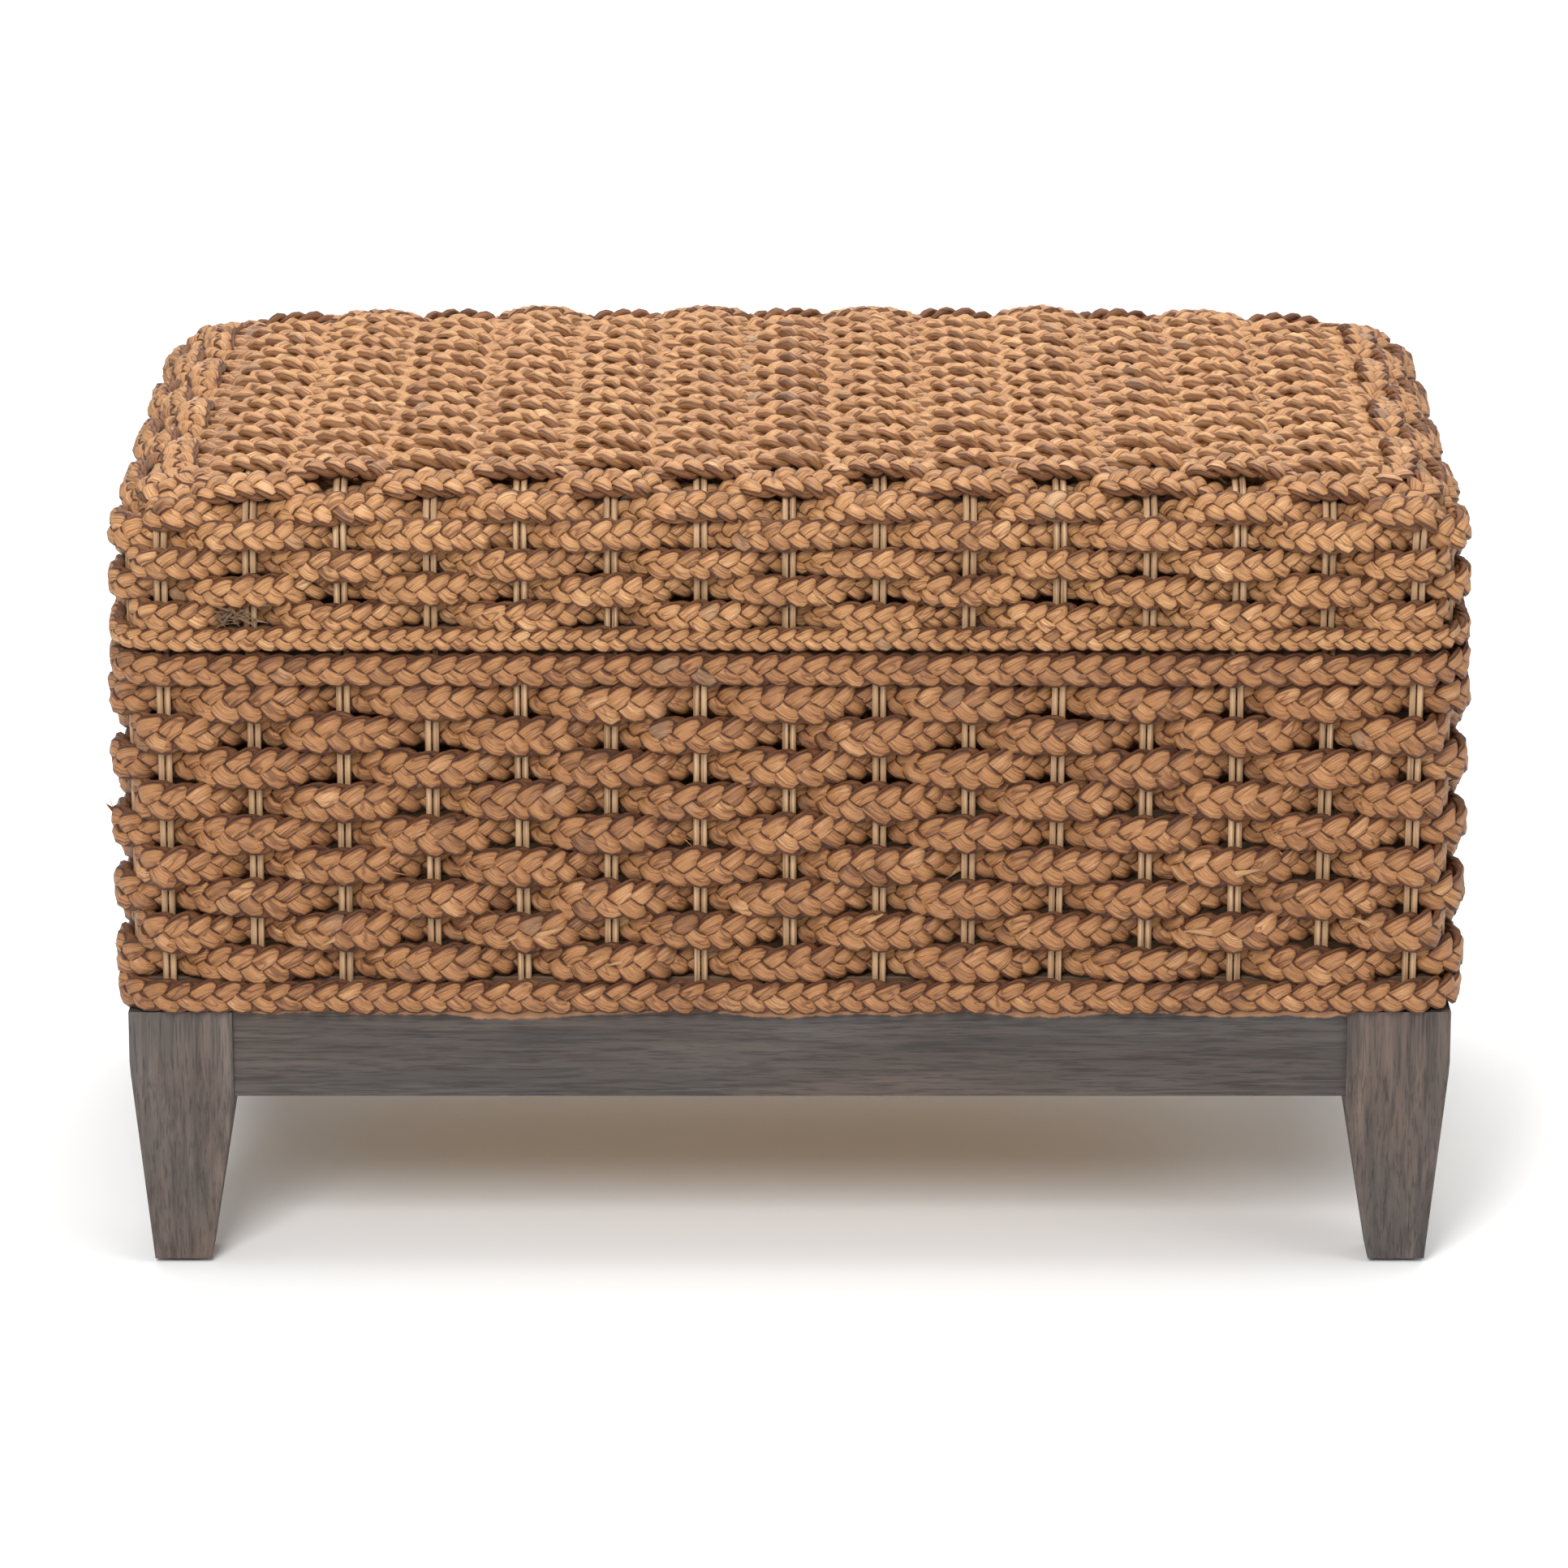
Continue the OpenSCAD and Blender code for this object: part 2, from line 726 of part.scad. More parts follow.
// the part of the plan that is nearest to the front or rear
module long_wedge() {
    far = half_w + half_d;
    translate([0, 0, lid_z]) linear_extrude(3 * shoulder_r + top_z - lid_z) polygon([
        [-bend_w, bend_d], [bend_w, bend_d], [bend_w + far, bend_d + far], [-bend_w - far, bend_d + far]
    ]);
}

// the part of the plan that is nearest to an end
module short_wedge() {
    far = half_w + half_d;
    translate([0, 0, lid_z]) linear_extrude(3 * shoulder_r + top_z - lid_z) polygon([
        [bend_w, -bend_d], [bend_w, bend_d], [bend_w + far, bend_d + far], [bend_w + far, -bend_d - far]
    ]);
}

module shoulder_ring(n) {
    color(n % 2 == 0 ? "#c7a268" : "#ba945b") intersection() {
        union() {
            for (sy = [-1, 1]) scale_side(1, sy) intersection() {
                shoulder_bar(n, bend_d, weave_w + 4 * braid_t);
                long_wedge();
            }
            both_ends() intersection() {
                rotate([0, 0, -90]) shoulder_bar(n, bend_w, weave_d + 4 * braid_t);
                short_wedge();
            }
        }
        translate([0, 0, lid_z]) linear_extrude(top_z)
            round_rect(bend_w + ring_out_r, bend_d + ring_out_r, ring_corner_r);
    }
}

module lid_shoulder_1() { shoulder_ring(1); }
module lid_shoulder_2() { shoulder_ring(2); }
module lid_shoulder_3() { shoulder_ring(3); }
module lid_shoulder_4() { shoulder_ring(4); }

// the braids across the lid's top, over and under the long stakes, as [x, z]
top_half = bend_w - row_gap;
top_run = (stakes_front - 3) * pitch_front / 2;

function top_wave(x, n) = top_z + over_under(n) * weave_amp * cos(180 * (x + top_run) / pitch_front);
function top_stations() = concat(
    [-top_half],
    [for (j = [-2:steps * (stakes_front - 3) + 2]) j * pitch_front / steps - top_run],
    [top_half]
);

module top_braid(n) {
    xs = top_stations();
    upper = [for (x = xs) [x, top_wave(x, n) + braid_t / 2]];
    lower = [for (x = xs) [x, top_wave(x, n) - braid_t / 2]];
    translate([0, bend_d - (n - 1) * top_pitch - row_gap / 2, 0]) rotate([90, 0, 0])
        linear_extrude(top_pitch - row_gap) polygon(concat(upper, back(lower)));
}

module lid_top_braids() {
    for (n = [1:top_braids]) color(n % 2 == 0 ? "#c9a56c" : "#bd985f") top_braid(n);
}

// ---- hinges ----

knuckle_w = hinge_w / knuckles;
pin_head_t = 1;

// the knuckles of one leaf, as every other slice of the barrel
module knuckle_set(first) {
    for (i = [first:2:knuckles - 1])
        rod_x([hinge_x - hinge_w / 2 + i * knuckle_w + plate_gap / 2, hinge_y, hinge_z],
              knuckle_w - plate_gap, 2 * barrel_r);
}

// tongues that join a leaf to its knuckles
module knuckle_tongues(first, z0, z1) {
    for (i = [first:2:knuckles - 1])
        let (x = hinge_x - hinge_w / 2 + i * knuckle_w + plate_gap / 2)
            block([x, inner_d + rail_t - over, z0], [x + knuckle_w - plate_gap, hinge_y, z1]);
}

module leaf(first, z0, z1) {
    difference() {
        union() {
            block([hinge_x - hinge_w / 2, leaf_y, z0], [hinge_x + hinge_w / 2, inner_d + rail_t, z1]);
            knuckle_tongues(first, z0, z1);
            knuckle_set(first);
        }
        rod_x([hinge_x - hinge_w, hinge_y, hinge_z], 2 * hinge_w, hinge_pin_d + hole_play);
    }
}

hinge_screw_x = [-0.36, 0, 0.36];
hinge_screw_y = leaf_y + leaf_in / 2;

module hinge_body_leaves() {
    color("#a98a4b") difference() {
        both_ends() leaf(0, body_top - leaf_t, body_top);
        hinge_body_screw_holes();
    }
}

module hinge_lid_leaves() {
    color("#a98a4b") difference() {
        both_ends() leaf(1, lid_z, lid_z + leaf_t);
        hinge_lid_screw_holes();
    }
}

module hinge_pins() {
    color("#8f7440") both_ends() {
        start = hinge_x - hinge_w / 2 - pin_head_t;
        rod_x([start, hinge_y, hinge_z], hinge_w + 2 * pin_head_t, hinge_pin_d);
        for (x = [start, hinge_x + hinge_w / 2]) rod_x([x, hinge_y, hinge_z], pin_head_t, 1.5 * hinge_pin_d);
    }
}

module hinge_body_screws() {
    color("#a98a4b") both_ends() for (e = hinge_screw_x)
        screw([hinge_x + e * hinge_w, hinge_screw_y, body_top], screw_len);
}

module hinge_body_screw_holes() {
    both_ends() for (e = hinge_screw_x)
        screw_hole([hinge_x + e * hinge_w, hinge_screw_y, body_top], screw_len);
}

module hinge_lid_screws() {
    color("#a98a4b") both_ends() for (e = hinge_screw_x)
        translate([hinge_x + e * hinge_w, hinge_screw_y, lid_z]) mirror([0, 0, 1])
            screw([0, 0, 0], lid_screw_len);
}

module hinge_lid_screw_holes() {
    both_ends() for (e = hinge_screw_x)
        translate([hinge_x + e * hinge_w, hinge_screw_y, lid_z]) mirror([0, 0, 1])
            screw_hole([0, 0, 0], lid_screw_len);
}

// ---- stays ----

// the part of a stay's pivot screw that lies in a rail
module stay_stud_bodies(p, d) {
    both_ends() rod_x([inner_w - over, p[0], p[1]], stud_len + over + hole_play, d);
}

// a pivot screw: threaded into the rail, through a link, with a flat head
module pivot_screw(p, link_x) {
    headed_pin([link_x - plate_gap / 2, p[0], p[1]], inner_w + stud_len + plate_gap / 2 - link_x);
}

// a pin along +X from p, with its head before p
module headed_pin(p, len) {
    translate(p) rotate([0, 90, 0]) rotate_extrude($fn = 32) polygon([
        [0, -pivot_head], [pivot_d, -pivot_head], [pivot_d, 0],
        [pivot_d / 2, 0], [pivot_d / 2, len], [0, len]
    ]);
}

module stay_body_pivots() {
    color("#b9bcc0") both_ends() pivot_screw(lower_pivot, lower_link_x);
}

module stay_lid_pivots() {
    color("#b9bcc0") both_ends() {
        pivot_screw(upper_pivot, upper_link_x);
        rod_x([upper_link_x + link_t + plate_gap / 2, upper_pivot[0], upper_pivot[1]],
              inner_w - upper_link_x - link_t - plate_gap / 2, 1.8 * pivot_d);
    }
}

// a flat link between two points, with a hole at each end
module link(x, p, q, hole_p, hole_q) {
    along = q - p;
    translate([x, p[0], p[1]]) rotate([atan2(along[1], along[0]), 0, 0]) difference() {
        union() {
            translate([0, 0, -link_w / 2]) cube([link_t, norm(along), link_w]);
            for (y = [0, norm(along)]) rod_x([0, y, 0], link_t, link_w);
        }
        rod_x([-over, 0, 0], link_t + 2 * over, hole_p);
        rod_x([-over, norm(along), 0], link_t + 2 * over, hole_q);
    }
}

// the lower link turns on the body's pivot, and the elbow's rivet rides in its other end
module stay_lower() {
    rivet_x = upper_link_x - plate_gap / 2;
    link(lower_link_x, elbow, lower_pivot, pivot_d + hole_play, pivot_d + hole_play);
    headed_pin([rivet_x, elbow[0], elbow[1]], lower_link_x + link_t - rivet_x);
}

// the upper link turns on the elbow rivet and on the lid's pivot, with room at the lid
module stay_upper() {
    link(upper_link_x, elbow, upper_pivot, pivot_d + hole_play, pivot_d + 4 * hole_play);
}

module stay_left_lower() { color("#c2c5c9") scale_side(-1, 1) stay_lower(); }
module stay_right_lower() { color("#c2c5c9") stay_lower(); }
module stay_left_upper() { color("#b4b8bd") scale_side(-1, 1) stay_upper(); }
module stay_right_upper() { color("#b4b8bd") stay_upper(); }

leg_front_left();
leg_front_right();
leg_rear_left();
leg_rear_right();
apron_front();
apron_rear();
apron_left();
apron_right();
base_cleats();
corner_braces();
brace_bolts();
foot_glides();
apron_dowels();
basket_screws();
bottom_rails();
top_rails();
corner_posts();
floor_panel();
stakes_front_rear();
stakes_sides();
body_border_bottom();
body_row_1();
body_row_2();
body_row_3();
body_row_4();
body_row_5();
body_row_6();
body_row_7();
body_row_8();
body_row_9();
body_border_top();
lid_rails();
lid_posts();
lid_board();
lid_board_screws();
lid_stakes_long();
lid_stakes_short();
lid_border();
lid_row_1();
lid_row_2();
lid_row_3();
lid_shoulder_1();
lid_shoulder_2();
lid_shoulder_3();
lid_shoulder_4();
lid_top_braids();
hinge_body_leaves();
hinge_lid_leaves();
hinge_pins();
hinge_body_screws();
hinge_lid_screws();
stay_body_pivots();
stay_lid_pivots();
stay_left_lower();
stay_left_upper();
stay_right_lower();
stay_right_upper();
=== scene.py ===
import math
import random

import bpy
from mathutils import Matrix, Vector


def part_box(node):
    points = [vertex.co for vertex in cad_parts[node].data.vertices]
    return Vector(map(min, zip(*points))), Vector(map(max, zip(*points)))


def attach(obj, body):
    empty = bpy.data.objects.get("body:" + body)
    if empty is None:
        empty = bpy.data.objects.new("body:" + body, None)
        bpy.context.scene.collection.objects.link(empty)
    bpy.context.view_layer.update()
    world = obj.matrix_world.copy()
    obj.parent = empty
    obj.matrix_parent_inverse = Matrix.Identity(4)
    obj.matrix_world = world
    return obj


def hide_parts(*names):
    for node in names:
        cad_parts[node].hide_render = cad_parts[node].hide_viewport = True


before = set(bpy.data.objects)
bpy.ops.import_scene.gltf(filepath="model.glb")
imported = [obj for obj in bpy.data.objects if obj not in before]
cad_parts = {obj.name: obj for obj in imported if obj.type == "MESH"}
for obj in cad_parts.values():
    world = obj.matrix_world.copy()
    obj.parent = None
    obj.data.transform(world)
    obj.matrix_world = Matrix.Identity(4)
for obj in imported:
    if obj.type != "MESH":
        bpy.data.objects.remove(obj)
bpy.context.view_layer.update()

# ---------------------------------------------------------------------------
# Camera: a long lens, a little above the lid and square to the front, so that
# the lid's top shows as a low band over its wall.
# ---------------------------------------------------------------------------
camera_data = bpy.data.cameras.new("camera")
camera_data.sensor_width = 36.0
camera_data.lens = 167.7
camera_data.clip_end = 40.0
camera = bpy.data.objects.new("camera", camera_data)
camera.location = (-0.0034, -4.385, 1.5185)
camera.rotation_euler = (math.radians(90 - 16.3), 0.0, 0.0)
bpy.context.scene.collection.objects.link(camera)
bpy.context.scene.camera = camera

# ---------------------------------------------------------------------------
# Studio: a pale floor, a broad soft light in front, one above, a fill at the
# right and one over the floor behind, under an even white surround.
# ---------------------------------------------------------------------------
floor_mesh = bpy.data.meshes.new("floor")
floor_mesh.from_pydata([(-9, -9, 0), (9, -9, 0), (9, 9, 0), (-9, 9, 0)], [], [(0, 1, 2, 3)])
floor = bpy.data.objects.new("floor", floor_mesh)
bpy.context.scene.collection.objects.link(floor)
floor_paint = bpy.data.materials.new("floor_paint")
floor_paint.use_nodes = True
floor_paint.node_tree.nodes["Principled BSDF"].inputs["Base Color"].default_value = (0.9, 0.9, 0.9, 1)
floor_paint.node_tree.nodes["Principled BSDF"].inputs["Roughness"].default_value = 0.9
floor_mesh.materials.append(floor_paint)

world = bpy.data.worlds.new("surround")
world.use_nodes = True
world.node_tree.nodes["Background"].inputs["Color"].default_value = (1, 1, 1, 1)
world.node_tree.nodes["Background"].inputs["Strength"].default_value = 0.5
bpy.context.scene.world = world
bpy.context.scene.view_settings.view_transform = "Standard"


def soft_light(name, place, target, size, watts):
    """A square soft box that faces the target."""
    data = bpy.data.lights.new(name, "AREA")
    data.shape = "SQUARE"
    data.size = size
    data.energy = watts
    lamp = bpy.data.objects.new(name, data)
    lamp.location = place
    lamp.rotation_euler = (Vector(target) - Vector(place)).to_track_quat("-Z", "Y").to_euler()
    bpy.context.scene.collection.objects.link(lamp)


soft_light("key", (-0.8, -2.9, 2.2), (0, 0, 0.3), 1.2, 100)
soft_light("top", (0.2, 0.1, 2.6), (0, 0, 0.4), 1.6, 46)
soft_light("right_fill", (2.6, -1.6, 1.2), (0, 0, 0.3), 1.4, 18)
soft_light("behind", (0, 5.2, 4.0), (0, 5.4, 0), 6.0, 230)


# ---------------------------------------------------------------------------
# Wooden base: four tapered legs and four aprons of acacia, wiped with a grey
# stain. Their arrises are eased, and the stain has rubbed through to the
# orange wood along the aprons' upper edges.
# ---------------------------------------------------------------------------
ARRIS = 0.0012


def put(name, mesh, body, replaced=(), material=None):
    """Links a finished mesh as a piece on its body."""
    piece = bpy.data.objects.new(name, mesh)
    bpy.context.scene.collection.objects.link(piece)
    if material:
        mesh.materials.clear()
        mesh.materials.append(material)
    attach(piece, body)
    if replaced:
        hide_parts(*replaced)


def finished(obj):
    """The mesh of an object with its modifiers applied, the object itself removed."""
    evaluated = obj.evaluated_get(bpy.context.evaluated_depsgraph_get())
    mesh = bpy.data.meshes.new_from_object(evaluated)
    mesh.name = obj.name
    bpy.data.objects.remove(obj)
    return mesh


def eased(node, width):
    """A copy of a CAD node's mesh, merged, with its sharp edges rounded."""
    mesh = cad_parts[node].data.copy()
    mesh.materials.clear()
    obj = bpy.data.objects.new(node + "_eased", mesh)
    bpy.context.scene.collection.objects.link(obj)
    weld = obj.modifiers.new("weld", "WELD")
    weld.merge_threshold = 0.00001
    flat = obj.modifiers.new("flat", "DECIMATE")
    flat.decimate_type = "DISSOLVE"
    flat.angle_limit = math.radians(1)
    bevel = obj.modifiers.new("arris", "BEVEL")
    bevel.width = width
    bevel.segments = 2
    bevel.limit_method = "ANGLE"
    bevel.angle_limit = math.radians(35)
    bevel.harden_normals = True
    return finished(obj)


class Nodes:
    """Short ways to add and join the nodes of a tree."""

    def feed(self, value, socket):
        if isinstance(value, bpy.types.NodeSocket):
            self.tree.links.new(value, socket)
        else:
            socket.default_value = value

    def add(self, kind, feeds=None, **settings):
        made = self.tree.nodes.new(kind)
        for key, value in settings.items():
            setattr(made, key, value)
        for key, value in (feeds or {}).items():
            self.feed(value, made.inputs[key])
        return made

    def calc(self, operation, *values):
        return self.add("ShaderNodeMath", dict(enumerate(values)), operation=operation).outputs["Value"]

    def xyz(self, x, y, z):
        return self.add("ShaderNodeCombineXYZ", {0: x, 1: y, 2: z}).outputs["Vector"]

    def parts(self, vector):
        made = self.add("ShaderNodeSeparateXYZ", {0: vector})
        return made.outputs["X"], made.outputs["Y"], made.outputs["Z"]


class Finish(Nodes):
    """A new material, and the nodes that most finishes use."""

    def __init__(self, name):
        self.material = bpy.data.materials.new(name)
        self.material.use_nodes = True
        self.tree = self.material.node_tree
        self.surface = self.tree.nodes["Principled BSDF"].inputs

    def object_place(self):
        return self.add("ShaderNodeTexCoord").outputs["Object"]

    def stretch(self, place, shift, scale):
        return self.add("ShaderNodeMapping",
                        {"Vector": place, "Location": shift, "Scale": scale}).outputs["Vector"]

    def noise(self, place, scale, detail, roughness=0.5, distortion=0.0, output="Fac"):
        return self.add("ShaderNodeTexNoise", {
            "Vector": place, "Scale": scale, "Detail": detail, "Roughness": roughness,
            "Distortion": distortion}).outputs[output]

    def attribute(self, name):
        return self.add("ShaderNodeAttribute", attribute_name=name).outputs["Fac"]

    def ramp(self, value, stops):
        """A colour ramp with the given (position, colour) stops."""
        made = self.add("ShaderNodeValToRGB", {"Fac": value})
        elements = made.color_ramp.elements
        while len(elements) < len(stops):
            elements.new(0.5)
        for element, (position, colour) in zip(elements, stops):
            element.position = position
            element.color = (*colour, 1)
        return made.outputs["Color"]

    def mix(self, under, over, factor, blend="MULTIPLY"):
        return self.add("ShaderNodeMix", {"Factor": factor, "A": under, "B": over},
                        data_type="RGBA", blend_type=blend).outputs["Result"]

    def spread(self, value, low, high, to_low, to_high):
        return self.add("ShaderNodeMapRange", {
            "Value": value, "From Min": low, "From Max": high, "To Min": to_low,
            "To Max": to_high}).outputs["Result"]

    def done(self, colour, roughness, height, strength, distance):
        """The material, with its colour, roughness and relief joined to the surface."""
        relief = self.add("ShaderNodeBump", {"Height": height, "Strength": strength, "Distance": distance})
        self.feed(colour, self.surface["Base Color"])
        self.feed(roughness, self.surface["Roughness"])
        self.feed(relief.outputs["Normal"], self.surface["Normal"])
        return self.material


def grain_scale(grain, across, along):
    """A scale for each axis, coarse along the grain and fine across it."""
    scale = [across] * 3
    scale["XYZ".index(grain)] = along
    return scale


STAIN = ((0.30, (0.050, 0.040, 0.035)), (0.45, (0.092, 0.073, 0.063)),
         (0.56, (0.128, 0.101, 0.087)), (0.72, (0.190, 0.152, 0.131)))
RAW_EDGE = (0.34, 0.165, 0.075, 1)


def stained_wood(name, grain, seed, blue, shade, raw_height=None):
    """Grey-stained wood whose grain runs along the axis, rubbed back to raw wood at a height."""
    wood = Finish(name)
    place = wood.object_place()
    along = wood.stretch(place, (seed * 1.7, seed * 0.9, seed * 2.3), grain_scale(grain, 60.0, 3.0))
    # a slow warp, so that the figure wanders
    warp = wood.noise(along, 0.35, 2.0, output="Color")
    warped = wood.add("ShaderNodeVectorMath", {0: warp, 1: (3.0, 3.0, 3.0), 2: along}, operation="MULTIPLY_ADD")
    figure = wood.noise(warped.outputs["Vector"], 1.1, 6.0, 0.62)
    fine = wood.noise(along, 5.5, 4.0, 0.7)
    pores = wood.noise(along, 14.0, 2.0)
    colour = wood.ramp(figure, [(position, [shade * part for part in tone]) for position, tone in STAIN])
    colour = wood.mix(colour, wood.ramp(fine, [(0.38, (0.42, 0.40, 0.39)), (0.52, (1, 1, 1))]), 0.75)
    colour = wood.mix(colour, wood.ramp(pores, [(0.36, (0.35, 0.33, 0.32)), (0.44, (1, 1, 1))]), 0.6)
    # cloudy blue-grey and brownish patches of the wiped stain
    patches = wood.stretch(place, (seed * 3.1, seed, seed * 0.4), grain_scale(grain, 30.0, 9.0))
    tint = wood.ramp(wood.noise(patches, 0.5, 2.0),
                     [(0.34, (1.16, 0.98, 0.88)), (0.52, (1, 1, 1)), (0.66, (0.78, 0.98, 1.16))])
    colour = wood.mix(colour, tint, blue)
    if raw_height:
        edge = wood.calc("MULTIPLY_ADD", wood.noise(place, 14.0, 5.0, 0.6), -0.020, raw_height + 0.0090)
        above = wood.calc("SUBTRACT", wood.parts(place)[2], edge)
        colour = wood.mix(colour, RAW_EDGE, wood.spread(above, 0.0, 0.0012, 0.0, 1.0), "MIX")
    return wood.done(colour, wood.spread(figure, 0.0, 1.0, 0.52, 0.78),
                     wood.calc("MULTIPLY_ADD", fine, 0.6, pores), 0.35, 0.0006)


for number, place in enumerate(("front_left", "front_right", "rear_left", "rear_right")):
    node = "leg_" + place
    put(node + "_wood", eased(node, ARRIS), "trunk", [node],
        stained_wood("stained_" + node, "Z", 3.1 + number * 1.37, 0.75, 0.72))
worn_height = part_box("apron_front")[1][2] - 0.002
for number, place in enumerate(("front", "rear", "left", "right")):
    node = "apron_" + place
    put(node + "_wood", eased(node, ARRIS), "trunk", [node],
        stained_wood("stained_" + node, "X" if number < 2 else "Y", 9.4 + number * 2.11, 0.5, 0.5, worn_height))

# ---------------------------------------------------------------------------
# Inner frame: rubberwood cleats, braces, rails and posts, sanded and washed
# brown, glued and screwed together behind the weave, with plywood for the
# floor and the lid's board. Seen only with the lid up.
# ---------------------------------------------------------------------------
FRAME_ARRIS = 0.0008
PLY_ARRIS = 0.0006


def plain_wood(name, grain, light, dark, seed, rings=30.0):
    """Wood with soft growth lines along the axis."""
    wood = Finish(name)
    along = wood.stretch(wood.object_place(), (seed, seed * 1.3, seed * 0.6), grain_scale(grain, rings, 1.6))
    figure = wood.noise(along, 1.6, 6.0, distortion=0.6)
    streaks = wood.noise(along, 9.0, 3.0)
    colour = wood.mix(wood.ramp(figure, [(0.35, dark), (0.65, light)]),
                      wood.ramp(streaks, [(0.40, (0.72, 0.66, 0.60)), (0.55, (1, 1, 1))]), 0.6)
    return wood.done(colour, 0.62, streaks, 0.25, 0.0004)


frame_wood = plain_wood("rubberwood_long", "X", (0.13, 0.075, 0.040), (0.07, 0.038, 0.020), 2.0)
post_wood = plain_wood("rubberwood_posts", "Z", (0.14, 0.080, 0.042), (0.08, 0.042, 0.022), 5.0)
ply_face = plain_wood("plywood_face", "X", (0.66, 0.48, 0.28), (0.52, 0.35, 0.19), 8.0, 14.0)
for node, body, finish in (
        ("base_cleats", "trunk", frame_wood), ("corner_braces", "trunk", frame_wood),
        ("bottom_rails", "trunk", frame_wood), ("top_rails", "trunk", frame_wood),
        ("corner_posts", "trunk", post_wood), ("lid_rails", "lid", frame_wood),
        ("lid_posts", "lid", post_wood)):
    put(node + "_wood", eased(node, FRAME_ARRIS), body, [node], finish)
put("floor_panel_ply", eased("floor_panel", PLY_ARRIS), "trunk", ["floor_panel"], ply_face)
put("lid_board_ply", eased("lid_board", PLY_ARRIS), "lid", ["lid_board"], ply_face)


def carried(node, material):
    """A CAD node that keeps its own shape and takes a finished material."""
    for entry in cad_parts[node].material_slots:
        entry.material = material


carried("apron_dowels", plain_wood("beech_dowels", "X", (0.66, 0.45, 0.27), (0.55, 0.36, 0.2), 11.0))

# ---------------------------------------------------------------------------
# Fittings: zinc-plated bolts, glides and lid stays, and aged brass hinges and
# screws. Bought in and driven home, so they keep the shapes of the design.
# ---------------------------------------------------------------------------
def plated(name, colour, roughness, wear):
    """Plated metal with fine scratches and cloudy tarnish."""
    metal = Finish(name)
    place = metal.object_place()
    cloud = metal.noise(place, 180.0, 5.0)
    metal.surface["Metallic"].default_value = 1.0
    return metal.done(metal.ramp(cloud, [(0.35, [part * wear for part in colour]), (0.6, colour)]),
                      metal.spread(cloud, 0.0, 1.0, roughness + 0.12, roughness),
                      metal.noise(place, 900.0, 2.0), 0.12, 0.0002)


zinc = plated("zinc_plate", (0.62, 0.63, 0.64), 0.30, 0.75)
brass = plated("aged_brass", (0.55, 0.42, 0.20), 0.34, 0.55)
for node in ("brace_bolts", "foot_glides", "stay_body_pivots", "stay_lid_pivots",
             "stay_left_lower", "stay_left_upper", "stay_right_lower", "stay_right_upper"):
    carried(node, zinc)
for node in ("basket_screws", "lid_board_screws", "hinge_body_leaves", "hinge_lid_leaves", "hinge_pins",
             "hinge_body_screws", "hinge_lid_screws"):
    carried(node, brass)

# ---------------------------------------------------------------------------
# Woven body rows: three-strand plaits of twisted water plant leaf, joined end
# to end, woven in front of every other pair of stakes and behind the rest.
# Each row starts one pair further on than the row below.
# ---------------------------------------------------------------------------
STAKE_R = 0.002
PAIR = 0.0045
stakes_low, stakes_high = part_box("stakes_front_rear")
side_low, side_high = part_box("stakes_sides")
HALF_D = stakes_high[1] - STAKE_R
HALF_W = side_high[0] - STAKE_R
STAKES_FRONT = 15
STAKES_SIDE = 9
RUN_W = stakes_high[0] - stakes_low[0] - PAIR - 2 * STAKE_R
RUN_D = side_high[1] - side_low[1] - PAIR - 2 * STAKE_R
CORNER = HALF_W - RUN_W / 2
STEP_W = RUN_W / (STAKES_FRONT - 1)
STEP_D = RUN_D / (STAKES_SIDE - 1)
FINE = 14
ROW_WAVE = 0.0082


def forward(wave):
    """Keeps a braid out in front for longer, so that it dives only close to the stake."""
    return wave + 0.38 * (1 - wave * wave)


def ring(half_w, half_d, corner, row):
    """A ring round the trunk: (x, y, outward x, outward y, wave), with wave 1 out in front of a stake."""
    sides = []
    first = 0
    for side in range(4):
        half, run, step, number = ((half_w, RUN_W, STEP_W, STAKES_FRONT) if side % 2 == 0 else
                                   (half_d, RUN_D, STEP_D, STAKES_SIDE))
        reach = half - corner
        sign = 1 if (first + row) % 2 == 0 else -1
        count = max(2, round(2 * reach / step * FINE))
        places = [reach * (2 * j / count - 1) for j in range(count + 1)]
        sides.append([(x, forward(sign * math.cos(math.pi * (x + run / 2) / step))) for x in places])
        first += number
    points = []
    for side in range(4):
        off = half_d if side % 2 == 0 else half_w
        reach = (half_w if side % 2 == 0 else half_d) - corner
        end, start = sides[side][-1][1], sides[(side + 1) % 4][0][1]
        local = [(x, -off, 0.0, -1.0, wave) for x, wave in sides[side]]
        for j in range(1, 12):
            a = math.radians(90 * j / 12)
            part = (1 + math.cos(2 * a)) / 2
            local.append((reach + corner * math.sin(a), corner - off - corner * math.cos(a),
                          math.sin(a), -math.cos(a), end * part + start * (1 - part)))
        c, d = ((1, 0), (0, 1), (-1, 0), (0, -1))[side]
        points += [(x * c - y * d, x * d + y * c, nx * c - ny * d, nx * d + ny * c, wave)
                   for x, y, nx, ny, wave in local]
    return points


def drift(seed, reach):
    """A smooth closed wander with the given reach, over 0 to 1."""
    dice = random.Random(seed)
    waves = [(m, dice.random(), reach * dice.uniform(0.3, 1.0)) for m in (2, 3, 5, 8, 13, 21, 29)]
    return lambda u: sum(size * math.sin(2 * math.pi * (m * u + shift)) for m, shift, size in waves)


